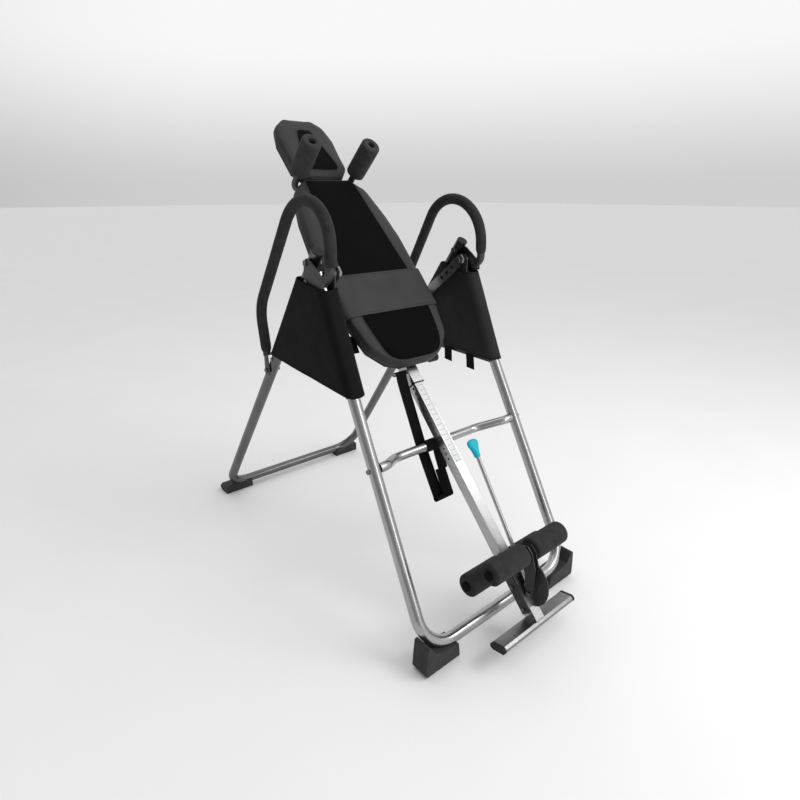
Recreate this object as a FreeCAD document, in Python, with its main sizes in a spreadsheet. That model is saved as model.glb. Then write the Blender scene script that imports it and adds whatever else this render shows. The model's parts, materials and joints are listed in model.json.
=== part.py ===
"""Inversion table: a folding A-frame that carries a tilting bed with a sliding boom.

Frame of the model: +Z up, +X to the user's left hand when lying on the bed, -Y towards the foot end.
The origin is on the floor, under the middle of the whole table. All sizes are in millimetres.
"""
import FreeCAD, Part
import math
import operator
import os
import Sketcher
from FreeCAD import Placement, Rotation, Vector

SIZES = {
    # A-frame, seen from the side: both leg frames meet at an apex line
    "apex_y": -62.8, "apex_z": 1031.0,
    "leg_od": 35.0, "leg_wall": 1.5, "leg_bend": 92.0,
    "front_bar_y": 515.0, "front_bar_z": 57.0, "front_apex_half": 277.0, "front_half": 309.0,
    "rear_bar_y": 734.0, "rear_bar_z": 33.0, "rear_apex_half": 281.0, "rear_half": 320.0,
    "front_top_cut": 34.0, "rear_top_rise": 36.0,
    # fold hinge, measured from the apex line
    "hinge_y": 2.64, "hinge_z": -51.69, "hinge_bolt_r": 5.0, "hinge_sleeve_r": 9.8, "hinge_gap": 0.1,
    # crossbar that the boom rests on
    "bar_od": 28.0, "bar_wall": 1.5, "bar_y": -276.0, "bar_z": 507.0, "bar_bow": 69.4,
    # handlebars
    "handle_od": 25.0, "handle_wall": 1.5, "foam_od": 34.0, "handle_x": 292.4, "handle_lean": 4.0,
    "plate_t": 4.0,
    # folding stays
    "stay_front_z": 694.0, "stay_rear_z": 705.0, "stay_w": 24.0, "stay_t": 4.0,
    "stay_front_len": 196.5, "stay_rear_len": 221.5,
    # tilting bed: its own frame has X across, Y up the bed and Z out of the pad
    "pivot_y": -50.0, "pivot_z": 1003.0, "bed_angle": 47.4,
    "axle_r": 7.0, "axle_end": 276.0, "bush_r": 9.5, "boss_r": 12.5, "run_gap": 0.1,
    "arm_x": 236.0, "arm_t": 6.0,
    "boom_z": -198.0, "outer_w": 40.0, "outer_h": 42.0, "outer_wall": 2.0,
    "outer_low": -305.0, "outer_top": 250.0,
    "inner_w": 34.0, "inner_h": 36.0, "inner_wall": 1.5, "inner_low": -1056.0, "inner_top": -60.0,
    "hole_pitch": 17.5, "hole_r": 4.2, "hole_top": -196.5, "hole_count": 22.0,
    "pin_y": -231.5, "pin_r": 3.6, "pin_house_r": 10.0, "pin_house_end": 97.0,
    # padding and boards
    "pad_face": -118.0, "pad_t": 40.0, "board_t": 10.0, "pad_half": 181.0,
    "belt_t": 6.0, "belt_low": -81.0, "belt_high": 67.0,
    "head_half": 108.0, "head_low": 463.0, "head_high": 717.0,
    # shoulder grips
    "grip_x": 108.0, "grip_y": 461.0, "grip_od": 64.0, "grip_len": 128.0, "shoulder_od": 22.0,
    # ankle clamp
    "roller_od": 66.0, "roller_bore": 20.4, "roller_len": 138.0, "roller_axle_od": 20.0,
    "rear_axle_y": -904.0, "rear_axle_z": -198.0, "front_axle_y": -896.0, "front_axle_z": -101.0,
    "clamp_y": -1005.0, "clamp_z": -170.0, "clamp_bolt_r": 4.0,
    "lever_od": 12.0, "lever_lean": 9.0, "lever_len": 416.0,
    "foot_w": 50.0, "foot_h": 20.0, "foot_half": 152.0,
}


class Size:
    """A number that also knows the spreadsheet expression it comes from."""

    def __init__(self, value, text):
        self.value = value
        self.text = text

    def __add__(self, other):
        return combined(operator.add, "+", self, other)

    def __radd__(self, other):
        return combined(operator.add, "+", other, self)

    def __sub__(self, other):
        return combined(operator.sub, "-", self, other)

    def __rsub__(self, other):
        return combined(operator.sub, "-", other, self)

    def __mul__(self, other):
        return combined(operator.mul, "*", self, other)

    def __rmul__(self, other):
        return combined(operator.mul, "*", other, self)

    def __truediv__(self, other):
        return combined(operator.truediv, "/", self, other)

    def __neg__(self):
        return self * -1


def value_of(item):
    return item.value if isinstance(item, Size) else float(item)


def text_of(item):
    return item.text if isinstance(item, Size) else repr(float(item))


def combined(action, sign, left, right):
    return Size(action(value_of(left), value_of(right)), f"({text_of(left)} {sign} {text_of(right)})")


def size(alias):
    return Size(SIZES[alias], f"Sizes.{alias}")


def bind(target, name, item):
    """Set a property, through an expression when the size comes from the sheet."""
    if isinstance(item, Size):
        target.setExpression(name, item.text)
    else:
        setattr(target, name, item)


doc = FreeCAD.newDocument("InversionTable")
sheet = doc.addObject("Spreadsheet::Sheet", "Sizes")
for row, (alias, number) in enumerate(SIZES.items(), start=1):
    sheet.set(f"A{row}", alias)
    sheet.set(f"B{row}", str(number))
    sheet.setAlias(f"B{row}", alias)
doc.recompute()

nodes = []


def keep(item, label, place=None):
    """Name an object as one of the table's pieces."""
    item.Label = label
    if place is not None:
        item.Placement = place
    nodes.append(item)
    return item


# ---------------------------------------------------------------- sketches and features

def new_body(label, place, alone=True):
    """Body of one piece; alone is False when it is grouped with its twin later."""
    body = doc.addObject("PartDesign::Body", label)
    body.Placement = place
    if alone:
        keep(body, label)
    return body


def sketch_on(body, role, offset=0.0):
    sketch = body.newObject("Sketcher::SketchObject", "Outline")
    plane = next(item for item in body.Origin.OriginFeatures if item.Role == role)
    sketch.AttachmentSupport = [(plane, "")]
    sketch.MapMode = "FlatFace"
    sketch.AttachmentOffset = Placement(Vector(0, 0, value_of(offset)), Rotation())
    return sketch


def constrain(sketch, kind, item, *where):
    """Add a driving dimension, bound to the sheet when it comes from there."""
    index = sketch.addConstraint(Sketcher.Constraint(kind, *where, value_of(item)))
    if isinstance(item, Size):
        sketch.setExpression(f"Constraints[{index}]", item.text)


def outline(sketch, corners):
    """Closed polygon whose corners are all dimensioned from the origin."""
    spots = [Vector(value_of(a), value_of(b), 0) for a, b in corners]
    lines = []
    for index, spot in enumerate(spots):
        after = spots[(index + 1) % len(spots)]
        lines.append(sketch.addGeometry(Part.LineSegment(spot, after)))
    for index, line in enumerate(lines):
        sketch.addConstraint(Sketcher.Constraint("Coincident", line, 2, lines[(index + 1) % len(lines)], 1))
    for line, (across, along) in zip(lines, corners):
        constrain(sketch, "DistanceX", across, -1, 1, line, 1)
        constrain(sketch, "DistanceY", along, -1, 1, line, 1)


def circle(sketch, across, along, radius):
    """Circle dimensioned from the origin."""
    centre = Vector(value_of(across), value_of(along), 0)
    index = sketch.addGeometry(Part.Circle(centre, Vector(0, 0, 1), value_of(radius)))
    constrain(sketch, "DistanceX", across, -1, 1, index, 3)
    constrain(sketch, "DistanceY", along, -1, 1, index, 3)
    constrain(sketch, "Radius", radius, index)


def rectangle(sketch, low_x, high_x, low_y, high_y):
    outline(sketch, [(low_x, low_y), (high_x, low_y), (high_x, high_y), (low_x, high_y)])


def feature(body, kind, sketch, length, both=False, back=False):
    item = body.newObject(f"PartDesign::{kind}", kind)
    item.Profile = sketch
    bind(item, "Length", length)
    item.Midplane = both
    item.Reversed = back
    return item


def rounded(body, base, radius, chosen):
    """Fillet the edges of base whose middle point is chosen."""
    doc.recompute()
    names = []
    for index, edge in enumerate(base.Shape.Edges, start=1):
        middle = edge.valueAt((edge.FirstParameter + edge.LastParameter) / 2)
        if chosen(edge, middle):
            names.append(f"Edge{index}")
    item = body.newObject("PartDesign::Fillet", "Round")
    item.Base = (base, names)
    bind(item, "Radius", radius)
    return item


def along_axis(edge, axis):
    """True for a straight edge parallel to the axis."""
    if edge.Curve.TypeId != "Part::GeomLine":
        return False
    return edge.Curve.Direction.cross(axis).Length < 1e-6


def smooth_path(points, radii):
    """Straight runs joined by tangent arcs, as sketch geometry."""
    spots = [Vector(a, b, 0) for a, b in points]
    pieces = []
    start = spots[0]
    for corner, before, after, radius in zip(spots[1:-1], spots, spots[2:], radii):
        come = (corner - before).normalize()
        leave = (after - corner).normalize()
        turn = come.getAngle(leave)
        reach = radius * math.tan(turn / 2)
        first = corner - come * reach
        last = corner + leave * reach
        inward = (leave - come).normalize()
        middle = corner + inward * (radius / math.cos(turn / 2) - radius)
        pieces.append(Part.LineSegment(start, first))
        pieces.append(Part.Arc(first, middle, last))
        start = last
    pieces.append(Part.LineSegment(start, spots[-1]))
    return pieces


def bent_tube(body, role, points, radii, outer, inner=None, offset=0.0):
    """Tube along a flat bent path, hollow when an inner radius is given."""
    path = sketch_on(body, role, offset)
    path.addGeometry(smooth_path(points, radii))
    doc.recompute()
    section = body.newObject("Sketcher::SketchObject", "Section")
    section.AttachmentSupport = [(path, "Edge1"), (path, "Vertex1")]
    section.MapMode = "NormalToEdge"
    for radius in [outer, inner]:
        if radius is not None:
            circle(section, 0.0, 0.0, radius)
    doc.recompute()
    pipe = body.newObject("PartDesign::AdditivePipe", "Pipe")
    pipe.Profile = section
    pipe.Spine = path
    return pipe


def cylinder(radius, length, base, axis):
    """Plain cylinder from base along axis."""
    item = doc.addObject("Part::Cylinder", "Round")
    bind(item, "Radius", radius)
    bind(item, "Height", length)
    item.Placement = Placement(base, Rotation(Vector(0, 0, 1), axis))
    return item


def hexagon(radius, length, base, axis):
    item = doc.addObject("Part::Prism", "Hex")
    item.Polygon = 6
    bind(item, "Circumradius", radius)
    bind(item, "Height", length)
    item.Placement = Placement(base, Rotation(Vector(0, 0, 1), axis))
    return item


def joined(items):
    if len(items) == 1:
        return items[0]
    group = doc.addObject("Part::MultiFuse", "Joined")
    group.Shapes = items
    return group


def cross_bolt(low, high, along, up, radius, head, head_t=5.0):
    """Bolt across X with a head on the low side and a nut on the high side."""
    east = Vector(1, 0, 0)
    middle = cylinder(radius, high - low + 2 * head_t, Vector(low - head_t, along, up), east)
    first = hexagon(head, head_t, Vector(low - head_t, along, up), east)
    last = hexagon(head, head_t, Vector(high, along, up), east)
    return joined([middle, first, last])


def group(label, items, place=None):
    """Like pieces that share one name, as separate solids."""
    item = doc.addObject("Part::MultiFuse", label)
    item.Shapes = items
    return keep(item, label, place)


def side_plate(body, corners, near, thick):
    """Plate standing across X, from x = near, outlined in the YZ plane."""
    sketch = sketch_on(body, "YZ_Plane", near)
    outline(sketch, corners)
    return feature(body, "Pad", sketch, thick)


def flat_plate(body, corners, low, thick):
    """Plate lying in the XY plane, from z = low."""
    sketch = sketch_on(body, "XY_Plane", low)
    outline(sketch, corners)
    return feature(body, "Pad", sketch, thick)


def drill(body, role, spots, radius, offset, depth, back=False):
    """Round holes through a body; the offset is where the drilling starts."""
    sketch = sketch_on(body, role, offset)
    for across, along in spots:
        circle(sketch, across, along, radius)
    return feature(body, "Pocket", sketch, depth, back=back)


def tube_along_bed(body, width, height, wall, low, high, middle):
    """Rectangular hollow tube along the bed's Y axis, centred at z = middle."""
    sketch = sketch_on(body, "XZ_Plane", -value_of(high))
    rectangle(sketch, -width / 2, width / 2, middle - height / 2, middle + height / 2)
    rectangle(sketch, wall - width / 2, width / 2 - wall,
              middle - height / 2 + wall, middle + height / 2 - wall)
    return feature(body, "Pad", sketch, high - low)


def both_ways(points):
    """Mirror a list of right-hand outline points to close a symmetric outline."""
    return points + [(-across, along) for across, along in reversed(points)]


def mirrored_name(side):
    return "left" if side < 0 else "right"


SIDES = (-1, 1)
EAST = Vector(1, 0, 0)
NORTH = Vector(0, 1, 0)

# ---------------------------------------------------------------- frames of reference

apex_y = SIZES["apex_y"]
apex_z = SIZES["apex_z"]
front_drop = apex_z - SIZES["front_bar_z"]
rear_drop = apex_z - SIZES["rear_bar_z"]
front_length = math.hypot(SIZES["front_bar_y"], front_drop)
rear_length = math.hypot(SIZES["rear_bar_y"], rear_drop)
front_angle = math.degrees(math.atan2(front_drop, SIZES["front_bar_y"]))
rear_angle = 180 - math.degrees(math.atan2(rear_drop, SIZES["rear_bar_y"]))

SIDE = Placement(Vector(0, apex_y, 0), Rotation())
FRONT = Placement(Vector(0, apex_y, apex_z), Rotation(EAST, front_angle))
REAR = Placement(Vector(0, apex_y, apex_z), Rotation(EAST, rear_angle))
PIVOT = Vector(0, apex_y + SIZES["pivot_y"], SIZES["pivot_z"])
BED = Placement(PIVOT, Rotation(EAST, SIZES["bed_angle"]))
hinge_y = SIZES["hinge_y"]
hinge_z = apex_z + SIZES["hinge_z"]


def front_leg_y(height):
    return -SIZES["front_bar_y"] * (apex_z - height) / front_drop


def rear_leg_y(height):
    return SIZES["rear_bar_y"] * (apex_z - height) / rear_drop


def front_leg_x(height):
    spread = SIZES["front_half"] - SIZES["front_apex_half"]
    return SIZES["front_apex_half"] + spread * (apex_z - height) / front_drop


def rear_leg_x(height):
    spread = SIZES["rear_half"] - SIZES["rear_apex_half"]
    return SIZES["rear_apex_half"] + spread * (apex_z - height) / rear_drop


# ---------------------------------------------------------------- leg frames

def leg_points(length, top, apex_half, half):
    """U of one leg frame: down one leg, along the floor bar and up the other."""
    top_half = apex_half + (half - apex_half) * top / length
    return [(top_half, -top), (half, -length), (-half, -length), (-top_half, -top)]


def leg_tube(body, points, gap=None):
    """Hollow leg tube, or the solid that clears it by gap."""
    bend = SIZES["leg_bend"]
    outer = size("leg_od") / 2
    if gap is None:
        return bent_tube(body, "XY_Plane", points, [bend, bend], outer, outer - size("leg_wall"))
    return bent_tube(body, "XY_Plane", points, [bend, bend], outer + gap)


front_points = leg_points(front_length, SIZES["front_top_cut"],
                          SIZES["front_apex_half"], SIZES["front_half"])
rear_points = leg_points(rear_length, -SIZES["rear_top_rise"], SIZES["rear_apex_half"], SIZES["rear_half"])

front_frame = new_body("front_frame", FRONT)
leg_tube(front_frame, front_points)
hinge_world = Vector(0, apex_y + hinge_y, hinge_z)
hinge_local = FRONT.inverse().multVec(hinge_world)
sleeve_low = 261.5
sleeve_high = 296.0
for side in SIDES:
    start = sleeve_low if side > 0 else -sleeve_high
    sleeve = sketch_on(front_frame, "YZ_Plane", start)
    circle(sleeve, hinge_local.y, hinge_local.z, size("hinge_sleeve_r"))
    circle(sleeve, hinge_local.y, hinge_local.z, size("hinge_bolt_r") + size("hinge_gap"))
    feature(front_frame, "Pad", sleeve, sleeve_high - sleeve_low)

rear_frame = new_body("rear_frame", REAR)
leg_tube(rear_frame, rear_points)


def clearing_tube(place, points):
    body = doc.addObject("PartDesign::Body", "Clearing")
    body.Placement = place
    leg_tube(body, points, 0.3)
    return body


front_clearing = clearing_tube(FRONT, front_points)
rear_clearing = clearing_tube(REAR, rear_points)


def grooved(block, clearing):
    """Moulded foot: its block less the groove that the leg tube lies in."""
    foot = doc.addObject("Part::Cut", "Foot")
    foot.Base = block
    foot.Tool = clearing
    return foot


front_foot_near = -540.0
front_foot_deep = 56.0
front_foot_shape = [(205, 0), (322, 0), (333, 12), (330, 60), (326, 98),
                    (316, 98), (296, 66), (262, 57), (212, 52)]
rear_foot_near = 222.0
rear_foot_far = 341.0
rear_foot_shape = [(713, 0), (771, 0), (783, 7), (783, 15), (758, 37), (713, 37)]
front_feet = []
rear_feet = []
for side in SIDES:
    block = doc.addObject("PartDesign::Body", "Block")
    sketch = sketch_on(block, "XZ_Plane")
    outline(sketch, [(side * across, up) for across, up in front_foot_shape])
    solid = feature(block, "Pad", sketch, front_foot_deep)
    solid = rounded(block, solid, 4.0, lambda edge, spot: along_axis(edge, NORTH) and spot.z > 10)
    rounded(block, solid, 9.0,
            lambda edge, spot: along_axis(edge, EAST) and spot.z < 1 and spot.y < 1 - front_foot_deep)
    block.Placement = Placement(Vector(0, apex_y + front_foot_near + front_foot_deep, 0), Rotation())
    front_feet.append(grooved(block, front_clearing))

    block = new_body("Block", SIDE, alone=False)
    near = rear_foot_near if side > 0 else -rear_foot_far
    solid = side_plate(block, rear_foot_shape, near, rear_foot_far - rear_foot_near)
    rounded(block, solid, 3.0, lambda edge, spot: abs(abs(spot.x) - rear_foot_far) < 0.01 and spot.z > 3)
    rear_feet.append(grooved(block, rear_clearing))
group("front_feet", front_feet)
group("rear_feet", rear_feet)

# plastic plugs in the open upper ends of both leg frames
plug_items = {"front_leg_plugs": [], "rear_leg_plugs": []}
for side in SIDES:
    for label, place, points in (("front_leg_plugs", FRONT, front_points),
                                 ("rear_leg_plugs", REAR, rear_points)):
        end = Vector(points[0][0], points[0][1], 0)
        low = Vector(points[1][0], points[1][1], 0)
        axis = (end - low).normalize()
        end.x *= side
        axis.x *= side
        inside = cylinder(size("leg_od") / 2 - size("leg_wall"), 18.0, end - axis * 18, axis)
        cap = cylinder(size("leg_od") / 2, 3.0, end, axis)
        plug_items[label].append(joined([inside, cap]))
group("front_leg_plugs", plug_items["front_leg_plugs"], FRONT)
group("rear_leg_plugs", plug_items["rear_leg_plugs"], REAR)

# ---------------------------------------------------------------- crossbar

bar_end = 276.2
bar_place = Placement(Vector(0, apex_y + SIZES["bar_y"], SIZES["bar_z"]), Rotation(EAST, -25.0))
crossbar = new_body("crossbar", bar_place)
bow = SIZES["bar_bow"]
bar_path = [(-bar_end, 0), (-250, 0), (-172, bow), (172, bow), (250, 0), (bar_end, 0)]
bent_tube(crossbar, "XY_Plane", bar_path, [40, 60, 60, 40], size("bar_od") / 2,
          size("bar_od") / 2 - size("bar_wall"))
frame_bolts = []
for side in SIDES:
    leg_x = front_leg_x(SIZES["bar_z"])
    low, high = sorted([side * (leg_x - 30), side * (leg_x + 17.7)])
    frame_bolts.append(cross_bolt(low, high, SIZES["bar_y"], SIZES["bar_z"], 4.0, 7.5))

# ---------------------------------------------------------------- pivot brackets of the bed

bracket_near = 256.0
brackets = []
bushes = []
for side in SIDES:
    bracket = new_body("Bracket", SIDE, alone=False)
    brackets.append(bracket)
    pivot_y = size("pivot_y")
    pivot_z = size("pivot_z")
    shape = [(pivot_y - 20, pivot_z), (pivot_y - 12, pivot_z + 18), (pivot_y + 12, pivot_z + 18),
             (pivot_y + 38, pivot_z - 9), (pivot_y + 4, pivot_z - 83), (pivot_y - 18, pivot_z - 83)]
    near = bracket_near if side > 0 else -bracket_near - SIZES["plate_t"]
    side_plate(bracket, shape, near, size("plate_t"))
    boss = sketch_on(bracket, "YZ_Plane", 248.0 if side > 0 else -264.0)
    circle(boss, pivot_y, pivot_z, size("boss_r"))
    feature(bracket, "Pad", boss, 16.0)
    drill(bracket, "YZ_Plane", [(pivot_y, pivot_z)], size("bush_r"), side * 230.0, 60.0, back=side > 0)

    bush = new_body("Bushing", SIDE, alone=False)
    bushes.append(bush)
    ring = sketch_on(bush, "YZ_Plane", 247.0 if side > 0 else -265.0)
    circle(ring, pivot_y, pivot_z, size("bush_r") - 0.02)
    circle(ring, pivot_y, pivot_z, size("axle_r") + size("run_gap"))
    feature(bush, "Pad", ring, 18.0)

group("pivot_brackets", brackets)
group("pivot_bushings", bushes)

bracket_bolt_heights = (962.0, 936.0)
for side in SIDES:
    for height in bracket_bolt_heights:
        leg_x = front_leg_x(height)
        low, high = sorted([side * bracket_near, side * (leg_x + 17.7)])
        frame_bolts.append(cross_bolt(low, high, front_leg_y(height), height, 3.5, 6.5, 4.0))

# ---------------------------------------------------------------- handlebars on the rear frame

handle_zero = 1000.0
handle_line = [(-68, -18), (-98, 8), (-98, 492), (311, -139), (268.3, -288)]
handle_bends = [30, 126, 110]
foam_line = [(-98, 26), (-98, 492), (311, -139), (271.7, -276)]
foam_bends = [126, 110]
plate_near = 302.0
tab_near = 314.3
tab_bolt_z = 662.0


def handle_place(side):
    lean = Rotation(NORTH, -side * SIZES["handle_lean"])
    return Placement(Vector(side * SIZES["handle_x"], apex_y, handle_zero), lean)


def plate_feature(corners, near, side):
    """Steel plate of the handlebar, outlined in the side view."""
    thick = SIZES["plate_t"]
    low = near if side > 0 else -near - thick
    plate = doc.addObject("PartDesign::Body", "Plate")
    side_plate(plate, corners, low, size("plate_t"))
    plate.Placement = SIDE
    return plate


handle_bolts = []
for side in SIDES:
    name = mirrored_name(side)
    tube = doc.addObject("PartDesign::Body", "Tube")
    bent_tube(tube, "YZ_Plane", handle_line, handle_bends, size("handle_od") / 2,
              size("handle_od") / 2 - size("handle_wall"))
    tube.Placement = handle_place(side)
    top_plate = plate_feature(
        [(-82, 972), (-82, 996), (-20, 1040), (-4, 1044), (11, 1036), (14, 966), (-12, 960)],
        plate_near, side)
    low_tab = plate_feature([(258, 718), (280, 718), (282, 648), (254, 648)], tab_near, side)
    reach = Vector(side * (plate_near - 1), apex_y + hinge_y, hinge_z)
    tab_hole = Vector(side * (tab_near - 1), apex_y + rear_leg_y(tab_bolt_z), tab_bolt_z)
    holes = joined([
        cylinder(size("hinge_bolt_r") + size("hinge_gap"), 8.0, reach, EAST * side),
        cylinder(5.2, 8.0, Vector(side * (plate_near - 1), apex_y, apex_z), EAST * side),
        cylinder(4.2, 8.0, tab_hole, EAST * side)])
    handle = doc.addObject("Part::Cut", f"handlebar_{name}")
    handle.Base = joined([tube, top_plate, low_tab])
    handle.Tool = holes
    keep(handle, f"handlebar_{name}")

    grip = new_body(f"handlebar_grip_{name}", handle_place(side))
    bent_tube(grip, "YZ_Plane", foam_line, foam_bends, size("foam_od") / 2, size("handle_od") / 2 + 0.2)

    outer_x = plate_near + SIZES["plate_t"]
    low, high = sorted([side * (rear_leg_x(apex_z) - 17.7), side * outer_x])
    handle_bolts.append(cross_bolt(low, high, 0.0, apex_z, 5.0, 8.5))
    low, high = sorted([side * (rear_leg_x(tab_bolt_z) - 17.7), side * (tab_near + SIZES["plate_t"])])
    handle_bolts.append(cross_bolt(low, high, rear_leg_y(tab_bolt_z), tab_bolt_z, 4.0, 7.5))

hinge_bolts = []
for side in SIDES:
    low, high = sorted([side * (sleeve_low - 0.4), side * (plate_near + SIZES["plate_t"])])
    hinge_bolts.append(cross_bolt(low, high, hinge_y, hinge_z, size("hinge_bolt_r"), 8.0, 4.0))
group("frame_hinge_bolts", hinge_bolts, SIDE)

# ---------------------------------------------------------------- folding stays

front_pivot = Vector(0, front_leg_y(SIZES["stay_front_z"]), SIZES["stay_front_z"])
rear_pivot = Vector(0, rear_leg_y(SIZES["stay_rear_z"]), SIZES["stay_rear_z"])
stay_rise = math.degrees(math.atan2(rear_pivot.z - front_pivot.z, rear_pivot.y - front_pivot.y))
front_stay_x = 264.5
rear_stay_x = 259.5


def stay(length, near, pivot, angle, rivet):
    """Flat link with rounded ends and a hole for the pivot at each end."""
    place = Placement(Vector(0, apex_y + pivot.y, pivot.z), Rotation(EAST, angle))
    body = new_body("Stay", place, alone=False)
    half = size("stay_w") / 2
    solid = side_plate(body, [(-half, -half), (length + half, -half), (length + half, half), (-half, half)],
                       near, size("stay_t"))
    solid = rounded(body, solid, 10.0, lambda edge, spot: along_axis(edge, EAST))
    ends = [(0.0, 0.0)] if rivet else [(0.0, 0.0), (length, 0.0)]
    drill(body, "YZ_Plane", ends, 4.3, near, SIZES["stay_t"], back=True)
    if rivet:
        head = sketch_on(body, "YZ_Plane", near + SIZES["stay_t"] if near > 0 else near - 2.0)
        circle(head, length, 0.0, 7.0)
        feature(body, "Pad", head, 2.0)
    return body


front_stays = []
rear_stays = []
for side in SIDES:
    near = front_stay_x if side > 0 else -front_stay_x - SIZES["stay_t"]
    front_stays.append(stay(size("stay_front_len"), near, front_pivot, stay_rise, True))
    near = rear_stay_x if side > 0 else -rear_stay_x - SIZES["stay_t"]
    rear_stays.append(stay(size("stay_rear_len"), near, rear_pivot, stay_rise + 180, False))
    inner = side * (front_stay_x - 0.4)
    low, high = sorted([inner, side * (front_leg_x(front_pivot.z) + 17.7)])
    frame_bolts.append(cross_bolt(low, high, front_pivot.y, front_pivot.z, 4.0, 7.0, 3.0))
    low, high = sorted([side * (rear_stay_x - 0.4), side * (rear_leg_x(rear_pivot.z) + 17.7)])
    handle_bolts.append(cross_bolt(low, high, rear_pivot.y, rear_pivot.z, 4.0, 7.0, 3.0))
    start = Vector(side * (rear_stay_x + SIZES["stay_t"] + 0.4), rear_pivot.y, rear_pivot.z)
    room = rear_leg_x(rear_pivot.z) - 17.7 - rear_stay_x - SIZES["stay_t"] - 0.4
    handle_bolts.append(cylinder(7.0, room, start, EAST * side))
group("front_stays", front_stays)
group("rear_stays", rear_stays)
group("front_frame_bolts", frame_bolts, SIDE)
group("rear_frame_bolts", handle_bolts, SIDE)

# ---------------------------------------------------------------- fabric covers over the stays

cover_near = 250.0
cover_far = 314.0
cloth = 1.5
cover_round = 14.0
cover_front = [(-84, 966), (-202, 692)]
cover_rear = [(254, 722), (62, 988)]
room_low = 640.0
room_high = 1010.0


def along_line(ends, height):
    """Y of the line through both ends at a height."""
    (first_y, first_z), (last_y, last_z) = ends
    return first_y + (last_y - first_y) * (height - first_z) / (last_z - first_z)


def across_line(ends, thick):
    """Width in Y of a wall of the given thickness that leans as the line does."""
    (first_y, first_z), (last_y, last_z) = ends
    return thick * math.hypot(last_y - first_y, last_z - first_z) / abs(last_z - first_z)


front_wall = across_line(cover_front, cloth)
rear_wall = across_line(cover_rear, cloth)
room = [(along_line(cover_front, room_high) + front_wall, room_high),
        (along_line(cover_front, room_low) + front_wall, room_low),
        (along_line(cover_rear, room_low) - rear_wall, room_low),
        (along_line(cover_rear, room_high) - rear_wall, room_high)]
upright_low = 780
upright_high = 900
for side in SIDES:
    near = cover_near if side > 0 else -cover_far
    bag = new_body("Bag", SIDE, alone=False)
    bag_solid = side_plate(bag, cover_front + cover_rear, near, cover_far - cover_near)
    rounded(bag, bag_solid, cover_round, lambda edge, spot: upright_low < spot.z < upright_high)
    inside = new_body("Inside", SIDE, alone=False)
    inside_solid = side_plate(inside, room, near + cloth, cover_far - cover_near - 2 * cloth)
    rounded(inside, inside_solid, cover_round - cloth,
            lambda edge, spot: upright_low < spot.z < upright_high)
    cover = doc.addObject("Part::Cut", f"side_cover_{mirrored_name(side)}")
    cover.Base = bag
    cover.Tool = inside
    keep(cover, cover.Label)

# ---------------------------------------------------------------- boom of the bed

boom_z = size("boom_z")
outer_boom = new_body("outer_boom", BED)
tube_along_bed(outer_boom, size("outer_w"), size("outer_h"), size("outer_wall"),
               size("outer_low"), size("outer_top"), boom_z)
drill(outer_boom, "YZ_Plane", [(size("pin_y"), boom_z)], size("pin_r") + 0.4, 10.0, 20.0, back=True)

collar = new_body("Collar", BED, alone=False)
lip = sketch_on(collar, "XZ_Plane", -value_of(size("outer_low")) + 0.2)
rectangle(lip, -size("outer_w") / 2 - 1, size("outer_w") / 2 + 1,
          boom_z - size("outer_h") / 2 - 1, boom_z + size("outer_h") / 2 + 1)
rectangle(lip, -size("inner_w") / 2 - 0.5, size("inner_w") / 2 + 0.5,
          boom_z - size("inner_h") / 2 - 0.5, boom_z + size("inner_h") / 2 + 0.5)
feature(collar, "Pad", lip, 3.0)

top_plug = new_body("TopPlug", BED, alone=False)
flat_end = sketch_on(top_plug, "XZ_Plane", -value_of(size("outer_top")) - 0.2)
rectangle(flat_end, -size("outer_w") / 2, size("outer_w") / 2,
          boom_z - size("outer_h") / 2, boom_z + size("outer_h") / 2)
feature(top_plug, "Pad", flat_end, 3.0, back=True)
group("boom_end_caps", [collar, top_plug])

inner_boom = new_body("inner_boom", BED)
tube_along_bed(inner_boom, size("inner_w"), size("inner_h"), size("inner_wall"),
               size("inner_low"), size("inner_top"), boom_z)
doc.recompute()
first_hole = drill(inner_boom, "YZ_Plane", [(size("hole_top"), boom_z)], size("hole_r"),
                   -value_of(size("inner_w")), size("inner_w") * 2, back=True)
doc.recompute()
row = inner_boom.newObject("PartDesign::LinearPattern", "HoleRow")
row.Originals = [first_hole]
row.Direction = (next(item for item in inner_boom.Origin.OriginFeatures if item.Role == "Y_Axis"), [""])
row.Reversed = True
bind(row, "Length", size("hole_pitch") * (size("hole_count") - 1))
bind(row, "Occurrences", size("hole_count"))
inner_boom.Tip = row
drill(inner_boom, "YZ_Plane", [(size("rear_axle_y"), size("rear_axle_z"))],
      size("roller_axle_od") / 2 - 4, -value_of(size("inner_w")), size("inner_w") * 2, back=True)

scale = new_body("height_scale", BED)
flat_plate(scale, [(-13, -584), (13, -584), (13, -312), (-13, -312)],
           boom_z + size("inner_h") / 2 + 0.02, 0.35)

# ---------------------------------------------------------------- cross beam and hinge arms

beam_y = 14.0
beam_low = SIZES["boom_z"] - SIZES["outer_h"] / 2 - 25.2
beam = new_body("cross_beam", BED)
beam_end = SIZES["arm_x"] - 0.1
beam_sketch = sketch_on(beam, "YZ_Plane", -beam_end)
rectangle(beam_sketch, beam_y - 20, beam_y + 20, beam_low, beam_low + 25)
rectangle(beam_sketch, beam_y - 18, beam_y + 18, beam_low + 2, beam_low + 23)
feature(beam, "Pad", beam_sketch, 2 * beam_end)

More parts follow.
